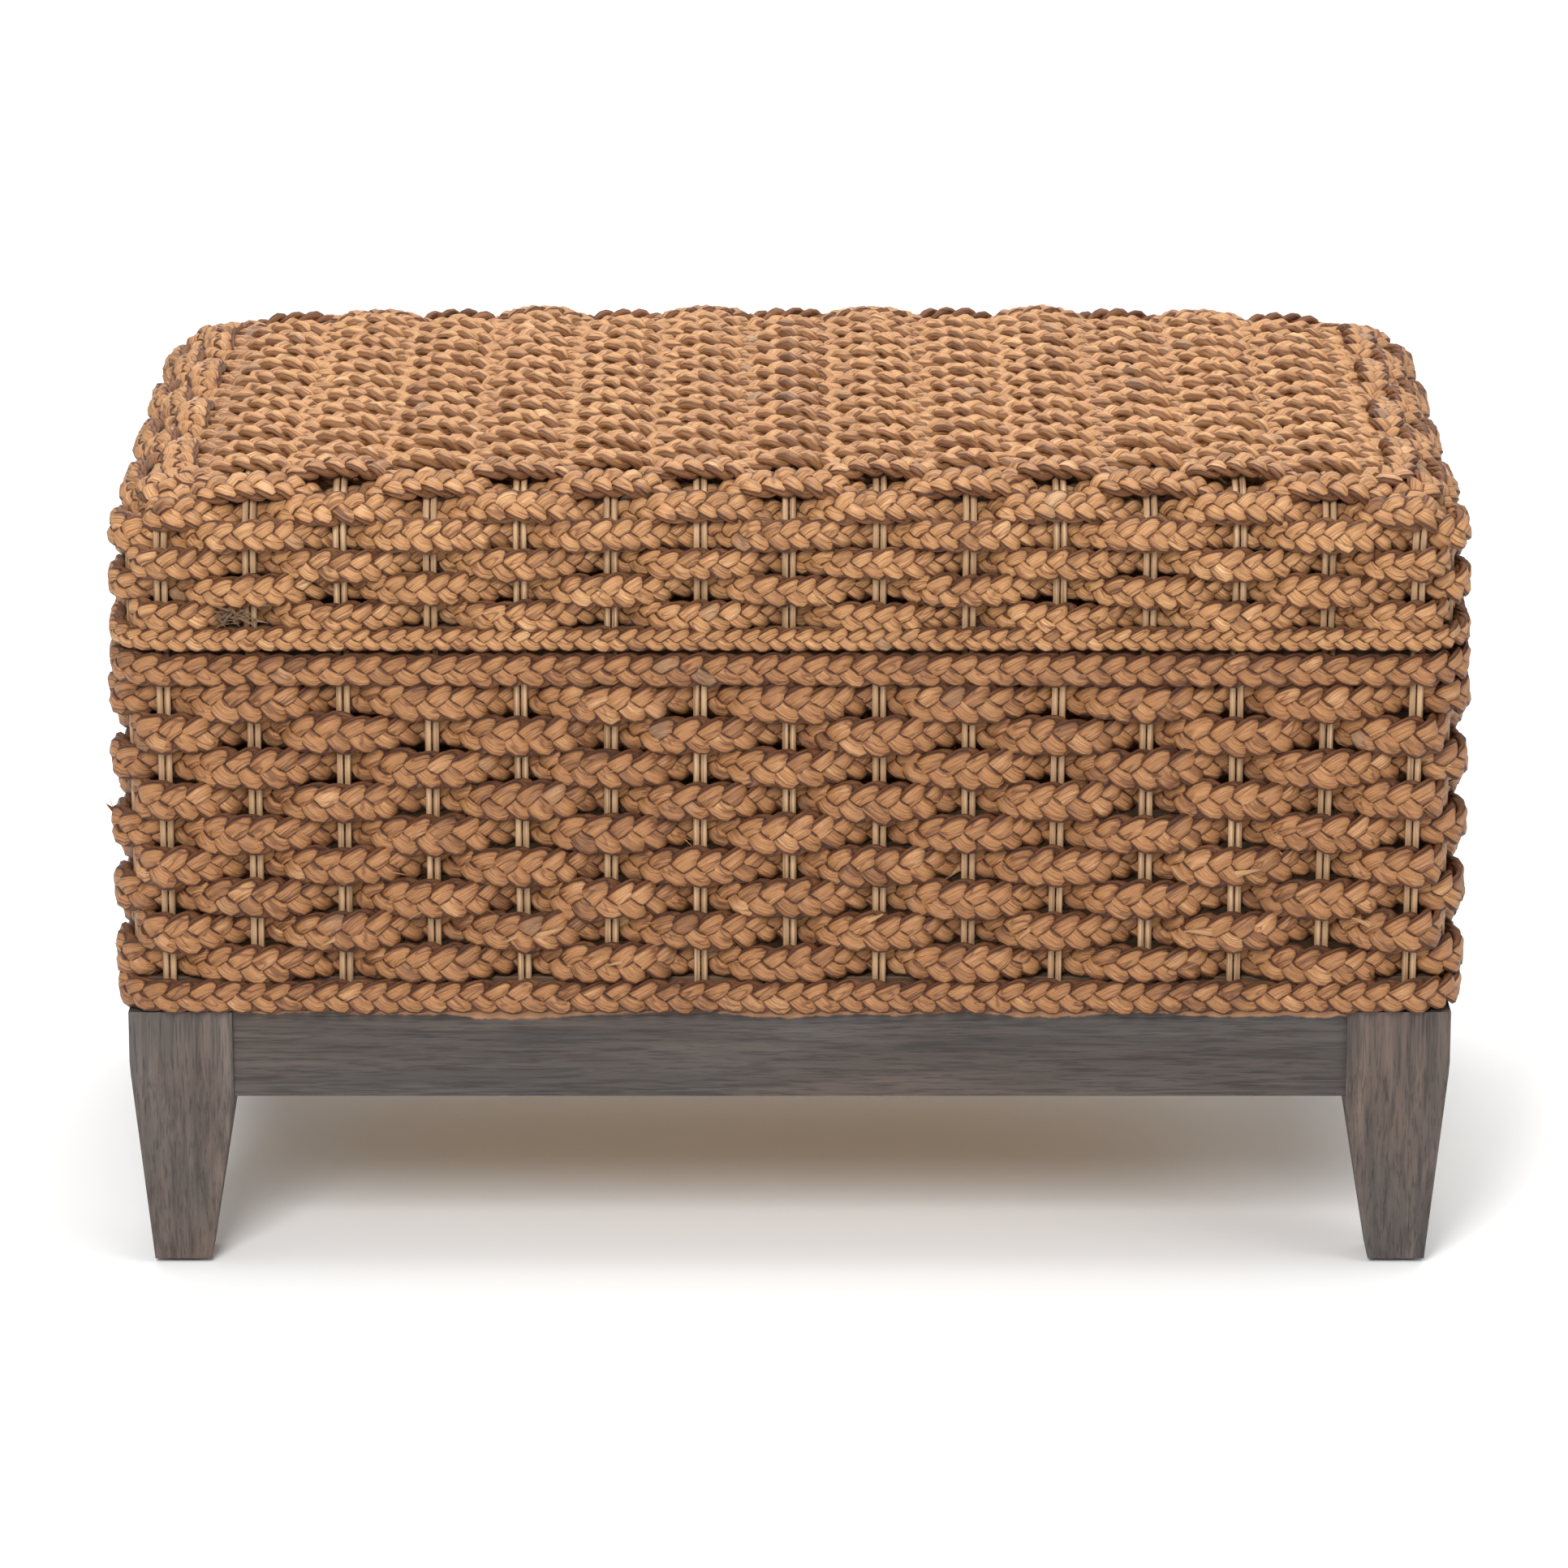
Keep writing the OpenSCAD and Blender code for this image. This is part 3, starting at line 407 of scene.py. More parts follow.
def path_curves(name, paths, closed=False):
    """Poly curves through (x, y, z, width) points; the width rides on the curve's radius."""
    data = bpy.data.curves.new(name, "CURVE")
    data.dimensions = "3D"
    for path in paths:
        spline = data.splines.new("POLY")
        spline.points.add(len(path) - 1)
        for target, (x, y, z, wide) in zip(spline.points, path):
            target.co = (x, y, z, 1)
            target.radius = wide
        spline.use_cyclic_u = closed
    obj = bpy.data.objects.new(name, data)
    bpy.context.scene.collection.objects.link(obj)
    return obj


class Tree(Nodes):
    """A geometry node tree with named inputs."""

    def __init__(self, name, inputs):
        self.tree = bpy.data.node_groups.new(name, "GeometryNodeTree")
        face = self.tree.interface
        face.new_socket("Geometry", in_out="INPUT", socket_type="NodeSocketGeometry")
        for label, kind in inputs:
            face.new_socket(label, in_out="INPUT", socket_type="NodeSocket" + kind)
        face.new_socket("Geometry", in_out="OUTPUT", socket_type="NodeSocketGeometry")
        self.given = self.add("NodeGroupInput").outputs

    def vec(self, operation, *values):
        places = (0, 3) if operation == "SCALE" else (0, 1)
        made = self.add("ShaderNodeVectorMath", dict(zip(places, values)), operation=operation)
        return made.outputs["Value" if operation in ("DOT_PRODUCT", "LENGTH") else "Vector"]

    def remember(self, geometry, name, value, domain="POINT", kind="FLOAT"):
        made = self.add("GeometryNodeStoreNamedAttribute", {"Geometry": geometry, "Name": name, "Value": value},
                        domain=domain, data_type=kind)
        return made.outputs["Geometry"]

    def recall(self, name, kind="FLOAT"):
        return self.add("GeometryNodeInputNamedAttribute", {"Name": name}, data_type=kind).outputs["Attribute"]

    def finish(self, geometry):
        """Realizes the instances, sets the material and joins the output."""
        real = self.add("GeometryNodeRealizeInstances", {"Geometry": geometry})
        painted = self.add("GeometryNodeSetMaterial",
                           {"Geometry": real.outputs["Geometry"], "Material": self.given["Material"]})
        self.add("NodeGroupOutput", {"Geometry": painted.outputs["Geometry"]})
        return self.tree


def plait_tree():
    """A node tree that lays a three-strand plait along a curve."""
    t = Tree("three_strand_plait", (
        ("Periods", "Int"), ("Cuts", "Int"), ("Around", "Int"), ("Swing", "Float"), ("Rise", "Float"),
        ("Strand Width", "Float"), ("Strand Height", "Float"), ("Lean", "Float"), ("Unevenness", "Float"),
        ("Seed", "Float"), ("Closed", "Bool"), ("Material", "Material")))
    given, calc, vec, xyz, parts = t.given, t.calc, t.vec, t.xyz, t.parts

    # one flat sheet for each strand: u runs along the plait, v round the strand
    sheet = t.add("GeometryNodeMeshGrid", {
        "Size X": 1.0, "Size Y": 1.0,
        "Vertices X": calc("MULTIPLY_ADD", given["Periods"], given["Cuts"], 1),
        "Vertices Y": calc("ADD", given["Around"], 1)})
    flat_x, flat_y, _ = parts(t.add("GeometryNodeInputPosition").outputs["Position"])
    mesh = t.remember(sheet.outputs["Mesh"], "u", calc("ADD", flat_x, 0.5))
    mesh = t.remember(mesh, "v", calc("ADD", flat_y, 0.5))
    mesh = t.remember(mesh, "sheet_uv", sheet.outputs["UV Map"], "CORNER", "FLOAT2")
    three = t.add("GeometryNodeMeshLine", {"Count": 3})
    copies = t.add("GeometryNodeInstanceOnPoints", {"Points": three.outputs["Mesh"], "Instance": mesh})
    mesh = t.remember(copies.outputs["Instances"], "strand",
                      t.add("GeometryNodeInputIndex").outputs["Index"], "INSTANCE")
    real = t.add("GeometryNodeRealizeInstances", {"Geometry": mesh})

    u, v, strand = t.recall("u"), t.recall("v"), t.recall("strand")
    length = t.add("GeometryNodeCurveLength", {"Curve": given["Geometry"]}).outputs["Length"]
    turns = calc("MULTIPLY", given["Periods"], 2 * math.pi)
    rate = calc("DIVIDE", turns, length)

    def wander(scale, shift, detail=1.0):
        """Smooth noise from -1 to 1 along each strand; it meets itself where a ring closes."""
        turn = calc("MULTIPLY", u, 2 * math.pi)
        reach = calc("MULTIPLY", calc("MULTIPLY", length, scale), 1 / (2 * math.pi))
        place = xyz(calc("MULTIPLY", calc("COSINE", turn), reach), calc("MULTIPLY", calc("SINE", turn), reach),
                    calc("MULTIPLY_ADD", strand, 7.3, shift))
        made = t.add("ShaderNodeTexNoise", {
            "Vector": place, "W": given["Seed"], "Scale": 1.0, "Detail": detail}, noise_dimensions="4D")
        return calc("MULTIPLY_ADD", made.outputs["Fac"], 2.0, -1.0)

    def vary(value, scale, shift, amount):
        change = calc("MULTIPLY", calc("MULTIPLY", wander(scale, shift), given["Unevenness"]), amount)
        return calc("MULTIPLY", value, calc("ADD", change, 1.0))

    swing = vary(given["Swing"], 40, 0, 0.35)
    rise = given["Rise"]
    width = vary(given["Strand Width"], 75, 3, 0.50)
    height = vary(given["Strand Height"], 75, 5, 0.55)
    stray = calc("MULTIPLY", calc("MULTIPLY", wander(45, 9), given["Unevenness"]), 0.55)
    phase = calc("ADD", calc("MULTIPLY_ADD", strand, 2 * math.pi / 3, calc("MULTIPLY", u, turns)), stray)

    # the strand's middle line: side to side once, and up and down twice, in each period
    y = calc("MULTIPLY", swing, calc("SINE", phase))
    z = calc("MULTIPLY", rise, calc("SINE", calc("MULTIPLY", phase, 2.0)))
    slope_y = calc("MULTIPLY", calc("MULTIPLY", swing, rate), calc("COSINE", phase))
    slope_z = calc("MULTIPLY", calc("MULTIPLY", calc("MULTIPLY", rise, rate), 2.0),
                   calc("COSINE", calc("MULTIPLY", phase, 2.0)))
    run = vec("NORMALIZE", xyz(1.0, slope_y, slope_z))
    up = vec("NORMALIZE", vec("SUBTRACT", xyz(0.0, 0.0, 1.0), vec("SCALE", run, parts(run)[2])))
    side = vec("CROSS_PRODUCT", run, up)

    # a folded leaf: a flat round section with shallow pleats along it
    angle = calc("MULTIPLY", v, 2 * math.pi)
    flank, rising = calc("COSINE", angle), calc("SINE", angle)
    crown = calc("MULTIPLY", calc("SIGN", rising), calc("POWER", calc("ABSOLUTE", rising), 0.8))
    folds = calc("SINE", calc("MULTIPLY_ADD", wander(20, 11), 5.0, calc("MULTIPLY", angle, 5.0)))
    pleated = calc("MULTIPLY", calc("MULTIPLY", height, calc("MULTIPLY_ADD", folds, 0.09, 1.0)), crown)
    section = vec("ADD", vec("SCALE", side, calc("MULTIPLY", width, flank)), vec("SCALE", up, pleated))
    local_x, local_y, local_z = parts(vec("ADD", xyz(calc("MULTIPLY", u, length), y, z), section))

    # onto the curve
    held = calc("MINIMUM", calc("MAXIMUM", local_x, 0.0), length)
    reach = t.add("GeometryNodeSwitch", {"Switch": given["Closed"], "False": held,
                                         "True": calc("FLOORED_MODULO", local_x, length)}, input_type="FLOAT")
    sample = t.add("GeometryNodeSampleCurve", {
        "Curves": given["Geometry"], "Value": t.add("GeometryNodeInputRadius").outputs["Radius"],
        "Length": reach.outputs["Output"]}, mode="LENGTH", data_type="FLOAT")
    tangent = sample.outputs["Tangent"]
    level = vec("NORMALIZE", vec("CROSS_PRODUCT", xyz(0.0, 0.0, 1.0), tangent))
    across = vec("ADD", vec("SCALE", xyz(0.0, 0.0, 1.0), calc("COSINE", given["Lean"])),
                 vec("SCALE", level, calc("SINE", given["Lean"])))
    out = vec("NORMALIZE", vec("CROSS_PRODUCT", tangent, across))
    across = vec("CROSS_PRODUCT", out, tangent)
    place = vec("ADD", sample.outputs["Position"],
                vec("SCALE", across, calc("MULTIPLY", local_y, sample.outputs["Value"])))
    place = vec("ADD", place, vec("SCALE", out, local_z))
    moved = t.add("GeometryNodeSetPosition", {"Geometry": real.outputs["Geometry"], "Position": place})

    # what the leaf finish reads: centimetres along and turns round, tone, specks, and closeness to a crevice as
    # the mask for painted shade between strands
    sheet_u, sheet_v, _ = parts(t.recall("sheet_uv", "FLOAT_VECTOR"))
    along = calc("MULTIPLY_ADD", calc("MULTIPLY", sheet_u, length), 100.0, calc("MULTIPLY", strand, 37.0))
    mesh = t.remember(moved.outputs["Geometry"], "UVMap", xyz(along, sheet_v, 0.0), "CORNER", "FLOAT2")
    mesh = t.remember(mesh, "tone", calc("MULTIPLY_ADD", wander(32, 21, 2.0), 0.75, 0.5))
    mesh = t.remember(mesh, "grey", calc("MULTIPLY_ADD", wander(24, 27), 0.5, 0.5))
    mesh = t.remember(mesh, "spot", calc("MULTIPLY_ADD", wander(90, 31, 2.0), 0.5, 0.5))
    # a mask for painted shade: high at a strand's edges and its sunken parts, where neighbours shade it
    depth = calc("DIVIDE", local_z, calc("ADD", rise, given["Strand Height"]))
    mesh = t.remember(mesh, "gap_shade_mask", calc("MAXIMUM", calc("ABSOLUTE", flank),
                                            calc("MULTIPLY_ADD", calc("ABSOLUTE", depth), -1.3, 1.10)))
    weld = t.add("GeometryNodeMergeByDistance", {"Geometry": mesh, "Distance": 0.000001})
    smooth = t.add("GeometryNodeSetShadeSmooth", {"Geometry": weld.outputs["Geometry"]})
    return t.finish(smooth.outputs["Geometry"])


PLAIT = plait_tree()


def run_tree(obj, tree, **values):
    """The plain mesh that a node tree makes of an object, with the named inputs set."""
    modifier = obj.modifiers.new("grow", "NODES")
    modifier.node_group = tree
    sockets = {item.name: item.identifier for item in tree.interface.items_tree if item.in_out == "INPUT"}
    for name, value in values.items():
        modifier[sockets[name.replace("_", " ")]] = value
    return finished(obj)


def leaf(name, light, mid, dark, seed, gap_shade_strength=0.96):
    """Dried, twisted leaf: fine fibres along the strand, uneven tone, dark specks, painted shade in the
    crevices between strands, and light streaks partly painted as sheen.
    """
    dried = Finish(name)
    uv = dried.add("ShaderNodeUVMap", uv_map="UVMap").outputs["UV"]

    def fibres(along, across, shift, detail, rough):
        place = dried.stretch(uv, (seed + shift, shift * 0.7, 0), (along, across, 1))
        return dried.noise(place, 1.0, detail, rough)

    broad = fibres(0.8, 8.0, 0.0, 3.0, 0.55)
    fine = fibres(1.2, 46.0, 5.0, 4.0, 0.72)
    hair = fibres(2.6, 120.0, 9.0, 2.0, 0.6)
    # tone from strand to strand, and across the folds of each
    level = dried.calc("MULTIPLY_ADD", broad, 1.1, dried.calc("SUBTRACT", dried.attribute("tone"), 0.55))
    colour = dried.ramp(level, [(0.10, dark), (0.46, mid), (0.62, mid), (0.95, light)])
    # fibre streaks along the strand, partly painted sheen: the whitened lightest end of the ramp is a painted
    # highlight
    streak_and_sheen = dried.ramp(fine, [(0.32, (0.30, 0.22, 0.17)), (0.46, (0.84, 0.80, 0.76)), (0.54, (1, 1, 1)),
                               (0.68, (1.40, 1.48, 1.58))])
    colour = dried.mix(colour, streak_and_sheen, 0.85)
    # the edges of the folded leaf, as thin dark lines
    fold = dried.calc("ABSOLUTE", dried.calc("SUBTRACT", fibres(0.45, 5.0, 13.0, 1.0, 0.5), 0.5))
    lines = dried.ramp(fold, [(0.0, (0.34, 0.24, 0.18)), (0.012, (0.55, 0.45, 0.38)), (0.03, (1, 1, 1))])
    colour = dried.mix(colour, lines, 0.8)
    # weathered grey stretches, dark specks, and painted shade between strands
    weathered = dried.spread(dried.attribute("grey"), 0.66, 0.78, 0.0, 0.6)
    colour = dried.mix(colour, (0.22, 0.165, 0.115, 1), weathered, "MIX")
    specks = dried.spread(dried.attribute("spot"), 0.72, 0.80, 0.0, 0.85)
    colour = dried.mix(colour, (0.060, 0.026, 0.020, 1), specks, "MIX")
    # painted shade: the leaf darkens towards the crevices between strands
    painted_gap_shade = dried.ramp(dried.attribute("gap_shade_mask"), [
        (0.60, (1, 1, 1)), (0.71, (0.66, 0.54, 0.44)), (0.775, (0.11, 0.050, 0.024)),
        (0.84, (0.14, 0.070, 0.036)), (0.92, (0.46, 0.35, 0.27))])
    colour = dried.mix(colour, painted_gap_shade, gap_shade_strength)
    height = dried.calc("MULTIPLY_ADD", fine, 1.1, dried.calc("MULTIPLY_ADD", hair, 0.4, broad))
    dried.surface["Specular IOR Level"].default_value = 0.5
    return dried.done(colour, dried.spread(fine, 0.0, 1.0, 0.32, 0.60), height, 0.75, 0.0013)


body_leaf = leaf("leaf_body", (0.56, 0.310, 0.142), (0.375, 0.170, 0.060), (0.180, 0.070, 0.022), 1.0)


def plait(name, points, closed, period, braid, lean, seed, material, uneven=1.0, cuts=16, around=10):
    """The mesh of a plait along (x, y, z, width) points; braid holds its swing, rise, width and height."""
    ends = points[1:] + points[:1] if closed else points[1:]
    length = sum((Vector(a[:3]) - Vector(b[:3])).length for a, b in zip(points, ends))
    swing, rise, width, height = braid
    return run_tree(path_curves(name, [points], closed), PLAIT, Periods=max(1, round(length / period)),
                    Cuts=cuts, Around=around, Swing=swing, Rise=rise, Strand_Width=width, Strand_Height=height,
                    Lean=lean, Unevenness=uneven, Seed=float(seed), Closed=closed, Material=material)


def woven_row(node, body, turn, wave_size, sway, swell, braid, period, seed, material):
    """A plait in the place of a CAD row, whose turn says which stakes it passes in front of."""
    low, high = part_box(node)
    middle = (low[2] + high[2]) / 2
    plan = ring(HALF_W, HALF_D, CORNER, turn)
    points = [(x + nx * wave_size * wave, y + ny * wave_size * wave, middle + sway(i / len(plan)),
               (0.97 + 0.08 * wave) * (1 + swell(i / len(plan))))
              for i, (x, y, nx, ny, wave) in enumerate(plan)]
    name = node + "_plait"
    put(name, plait(name, points, True, period, braid, 0.0, seed, material), body, [node])


BODY_BRAID = (0.0062, 0.0030, 0.0062, 0.0033)
BODY_PERIOD = 0.0425
SWELL = 0.022
BODY_ROWS = 9
for row in range(1, BODY_ROWS + 1):
    woven_row(f"body_row_{row}", "trunk", row, ROW_WAVE, drift(row, 0.0004), drift(row + 40, SWELL), BODY_BRAID,
              BODY_PERIOD, row, body_leaf)

# ---------------------------------------------------------------------------
# Body borders: one straight plait along the bottom and one along the top,
# glued and stitched over the ends of the stakes. The top one is drawn down
# under the two hinge barrels at the rear.
# ---------------------------------------------------------------------------
hinge_low, hinge_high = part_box("hinge_pins")
BARREL = hinge_high[0] + 0.001
BARREL_IN = BARREL - 0.064


def near_hinge(x, y):
    """1 at the hinge barrels, 0 clear of them, with a soft change between."""
    if y < HALF_D:
        return 0.0
    off = max(BARREL_IN - abs(x), abs(x) - BARREL, 0.0)
    return max(0.0, 1.0 - off / 0.012)


def border(name, body, braid, proud, lift, squeeze, shift, seed, material, period):
    """A straight plait round the rim of a CAD border."""
    low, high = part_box(name)
    middle = (low[2] + high[2]) / 2 + lift
    plan = ring(HALF_W + proud, HALF_D + proud, CORNER + proud, 0)[::3]
    swell = drift(seed, 0.010)
    points = []
    for i, (x, y, nx, ny, _) in enumerate(plan):
        hug = near_hinge(x, y)
        points.append((x - nx * 0.001 * hug, y - ny * 0.001 * hug, middle + shift * hug,
                       (1 + swell(i / len(plan))) * (1 - squeeze * hug)))
    mesh = plait(name + "_plait", points, True, period, braid, 0.0, seed, material, 0.75)
    put(name + "_plait", mesh, body, [name])


BORDER_BRAID = (0.0054, 0.0028, 0.0054, 0.0028)
BORDER_PERIOD = 0.044
BORDER_PROUD = 0.0080
border("body_border_bottom", "trunk", BORDER_BRAID, BORDER_PROUD, 0.0005, 0.0, 0.0, 61, body_leaf,
       BORDER_PERIOD)
border("body_border_top", "trunk", BORDER_BRAID, BORDER_PROUD, -0.0005, 0.24, -0.0022, 62, body_leaf,
       BORDER_PERIOD)

# ---------------------------------------------------------------------------
# Lid rim and wall: a slim straight plait along the rim, then three woven rows
# of a slimmer plait than the body's, in step with the rows below.
# ---------------------------------------------------------------------------
lid_leaf = leaf("leaf_lid", (0.69, 0.405, 0.195), (0.480, 0.238, 0.092), (0.250, 0.106, 0.036), 7.0)
RIM_BRAID = (0.0038, 0.0028, 0.0038, 0.0028)
RIM_PERIOD = 0.031
border("lid_border", "lid", RIM_BRAID, BORDER_PROUD, 0.0014, 0.34, 0.0016, 63, lid_leaf, RIM_PERIOD)
LID_BRAID = (0.0051, 0.0029, 0.0050, 0.0028)
LID_PERIOD = 0.036
LID_WAVE = 0.0076
for row in range(1, 4):
    woven_row(f"lid_row_{row}", "lid", row + BODY_ROWS, LID_WAVE, drift(row + 70, 0.0005),
              drift(row + 80, SWELL), LID_BRAID, LID_PERIOD, row + 20, lid_leaf)

# ---------------------------------------------------------------------------
# Lid shoulder: four woven rows that lie round the stakes' bend, each turned a
# little further from upright to level, so that the lid looks like a pillow.
# ---------------------------------------------------------------------------
stake_low, stake_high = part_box("lid_stakes_long")
TOP = stake_high[2] - STAKE_R
SHOULDER_R = 0.0355
BEND_Z = TOP - SHOULDER_R
BEND_W = HALF_W - SHOULDER_R
BEND_D = HALF_D - SHOULDER_R
SHOULDER_PERIOD = 0.035


def sag(x, y):
    """How far the pillow-shaped top drops towards its ends and corners."""
    end, side = abs(x / HALF_W) ** 5, (y / HALF_D) ** 4
    return 0.0050 * end + 0.0050 * end * side


for number, corner in ((1, 0.022), (2, 0.024), (3, 0.023), (4, 0.020)):
    angle = math.radians(90 * (number - 0.5) / 4)
    reach = SHOULDER_R * math.cos(angle)
    plan = ring(BEND_W + reach, BEND_D + reach, corner, 12 + number)
    sway, swell = drift(number + 90, 0.0005), drift(number + 95, SWELL)
    points = []
    for i, (x, y, nx, ny, wave) in enumerate(plan):
        off = LID_WAVE * wave + sway(i / len(plan))
        cornering = 4 * (nx * ny) ** 2
        points.append((x + nx * off * math.cos(angle), y + ny * off * math.cos(angle),
                       BEND_Z + (SHOULDER_R + off - sag(x, y)) * math.sin(angle),
                       (1.0 + 0.06 * wave + 0.22 * cornering) * (1 + swell(i / len(plan)))))
    name = f"lid_shoulder_{number}_plait"
    mesh = plait(name, points, True, SHOULDER_PERIOD, LID_BRAID, angle, number + 30, lid_leaf)
    put(name, mesh, "lid", [f"lid_shoulder_{number}"])

# ---------------------------------------------------------------------------
# Lid top: twenty-two plaits from end to end, woven over and under the long
# stakes, packed close, with their ends tucked under the shoulder.
# ---------------------------------------------------------------------------
TOP_BRAIDS = 22
TOP_PITCH = 2 * BEND_D / TOP_BRAIDS
TOP_BRAID = (0.0055, 0.0029, 0.0056, 0.0030)
TOP_END = BEND_W + 0.002
TOP_WAVE = 0.0058
TOP_PERIOD = 0.037
TOP_POINTS = 190
TUCK = 0.014
# painted light: a lighter copy of the lid's leaf for the top, its mid and dark tones lifted and its painted
# crevice shade weaker, so the top looks lit from above
lit_top_leaf = leaf("leaf_lid_top_lit", (0.70, 0.415, 0.190), (0.53, 0.266, 0.100), (0.35, 0.155, 0.053), 11.0, 0.7)


def top_points(number):
    """The path of one plait across the top, counted from the rear."""
    y = BEND_D - (number - 0.5) * TOP_PITCH
    sign = 1 if number % 2 == 0 else -1
    sway, swell = drift(number + 110, 0.0006), drift(number + 140, SWELL)
    points = []
    for i in range(TOP_POINTS + 1):
        x = TOP_END * (2 * i / TOP_POINTS - 1)
        wave = sign * math.cos(math.pi * (x + STEP_W * (STAKES_FRONT - 3) / 2) / STEP_W)
        tuck = max(0.0, (abs(x) - TOP_END + TUCK) / TUCK)
        dome = 0.0035 * (1 - (x / BEND_W) ** 4) * (1 - (y / BEND_D) ** 4)
        height = TOP + 0.001 + TOP_WAVE * wave * (1 - tuck) - 0.004 * tuck * tuck + dome - sag(x, y)
        points.append((x, y + sway(i / TOP_POINTS), height,
                       (0.98 + 0.07 * wave) * (1 + swell(i / TOP_POINTS))))
    return points


def joined(name, meshes):
    """One mesh made of several, which are removed."""
    parts = []
    for mesh in meshes:
        part = bpy.data.objects.new(mesh.name, mesh)
        bpy.context.scene.collection.objects.link(part)
        parts.append(part)
    with bpy.context.temp_override(active_object=parts[0], selected_editable_objects=parts,
                                   selected_objects=parts, object=parts[0]):
        bpy.ops.object.join()
    mesh = parts[0].data
    mesh.name = name
    bpy.data.objects.remove(parts[0])
    return mesh


for group, (start, end) in enumerate(((1, 8), (8, 15), (15, TOP_BRAIDS + 1)), 1):
    braids = [plait(f"top_braid_{n}", top_points(n), False, TOP_PERIOD, TOP_BRAID, math.pi / 2, n + 50,
                    lit_top_leaf, uneven=1.5, cuts=14, around=8) for n in range(start, end)]
    name = f"lid_top_braids_{group}"
    put(name, joined(name, braids), "lid", ["lid_top_braids"])

# ---------------------------------------------------------------------------
# Loose leaf: where a leaf ran out during plaiting its end was tucked in, and
# some ends have sprung out again, as single slivers, flat pale flaps and a
# frayed grey end on the front of the lid.
# ---------------------------------------------------------------------------
SPRUNG = (0.00028, 0.0006, 0.013)
FLAP = (0.00035, 0.0027, 0.017)
LEAF_FACE = 0.0042


def sliver_tree():
    """A node tree that sets a bent, tapered sliver of leaf on every point of a mesh."""
    t = Tree("leaf_slivers", (("Sides", "Int"), ("Cuts", "Int"), ("Taper", "Float"), ("Curl", "Float"),
                              ("Material", "Material")))
    calc = t.calc
    rod = t.add("GeometryNodeMeshCylinder", {"Vertices": t.given["Sides"], "Side Segments": t.given["Cuts"],
                                             "Radius": 1.0, "Depth": 1.0}, fill_type="NGON")
    x, y, z = t.parts(t.add("GeometryNodeInputPosition").outputs["Position"])
    along = calc("ADD", z, 0.5)
    mesh = t.remember(rod.outputs["Mesh"], "UVMap",
                      t.xyz(calc("MULTIPLY", along, 1.6), calc("MULTIPLY", y, 0.12), 0.0), "CORNER", "FLOAT2")
    thin = calc("SUBTRACT", 1.0, calc("MULTIPLY", along, t.given["Taper"]))
    bend = calc("MULTIPLY", calc("MULTIPLY", along, along), t.given["Curl"])
    shaped = t.add("GeometryNodeSetPosition", {"Geometry": mesh, "Position": t.xyz(
        calc("ADD", calc("MULTIPLY", x, thin), bend), calc("MULTIPLY", y, thin), along)})
    smooth = t.add("GeometryNodeSetShadeSmooth", {"Geometry": shaped.outputs["Geometry"]})
    copies = t.add("GeometryNodeInstanceOnPoints", {
        "Points": t.given["Geometry"], "Instance": smooth.outputs["Geometry"],
        "Rotation": t.recall("turn", "FLOAT_VECTOR"), "Scale": t.recall("size", "FLOAT_VECTOR")})
    return t.finish(copies.outputs["Instances"])


SLIVERS = sliver_tree()


def sliver(dice, root, out, size, rise, tone, grey=0.0):
    """One sliver: its root, turn and size, lying along the weave and rising from it by an angle."""
    level = Vector((-out[1], out[0], 0.0)) * dice.choice((-1, 1))
    slant = dice.uniform(-0.7, 0.7)
    run = (level * math.cos(slant) + Vector((0, 0, 1)) * math.sin(slant)) * math.cos(rise)
    run = (run + Vector(out) * math.sin(rise)).normalized()
    face = (Vector(out) - run * run.dot(Vector(out))).normalized()
    turn = Matrix((face, run.cross(face), run)).transposed().to_euler()
    scale = dice.uniform(0.6, 1.25)
    return root, turn, (size[0], size[1] * scale, size[2] * scale), tone, grey


def loose_leaf(name, body, slivers, material):
    """One piece from many slivers on a body."""
    mesh = bpy.data.meshes.new(name)
    mesh.from_pydata([root for root, *_ in slivers], [], [])
    for place, (label, kind, field) in enumerate((
            ("turn", "FLOAT_VECTOR", "vector"), ("size", "FLOAT_VECTOR", "vector"),
            ("tone", "FLOAT", "value"), ("grey", "FLOAT", "value")), 1):
        values = mesh.attributes.new(label, kind, "POINT")
        for item, one in zip(values.data, slivers):
            setattr(item, field, one[place])
    obj = bpy.data.objects.new(name, mesh)
    bpy.context.scene.collection.objects.link(obj)
    put(name, run_tree(obj, SLIVERS, Sides=6, Cuts=5, Taper=0.86, Curl=4.0, Material=material), body)


def on_weave(dice, rows, shift, wave_size):
    """A random place on the outside of a woven row, with the way out from it."""
    row = dice.choice(rows)
    low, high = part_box(("lid_row_" if shift else "body_row_") + str(row))
    x, y, nx, ny, wave = dice.choice(ring(HALF_W, HALF_D, CORNER, row + shift))
    off = wave_size * wave + LEAF_FACE
    height = (low[2] + high[2]) / 2 + dice.uniform(-0.0045, 0.0045)
    return (x + nx * off, y + ny * off, height), (nx, ny, 0.0)


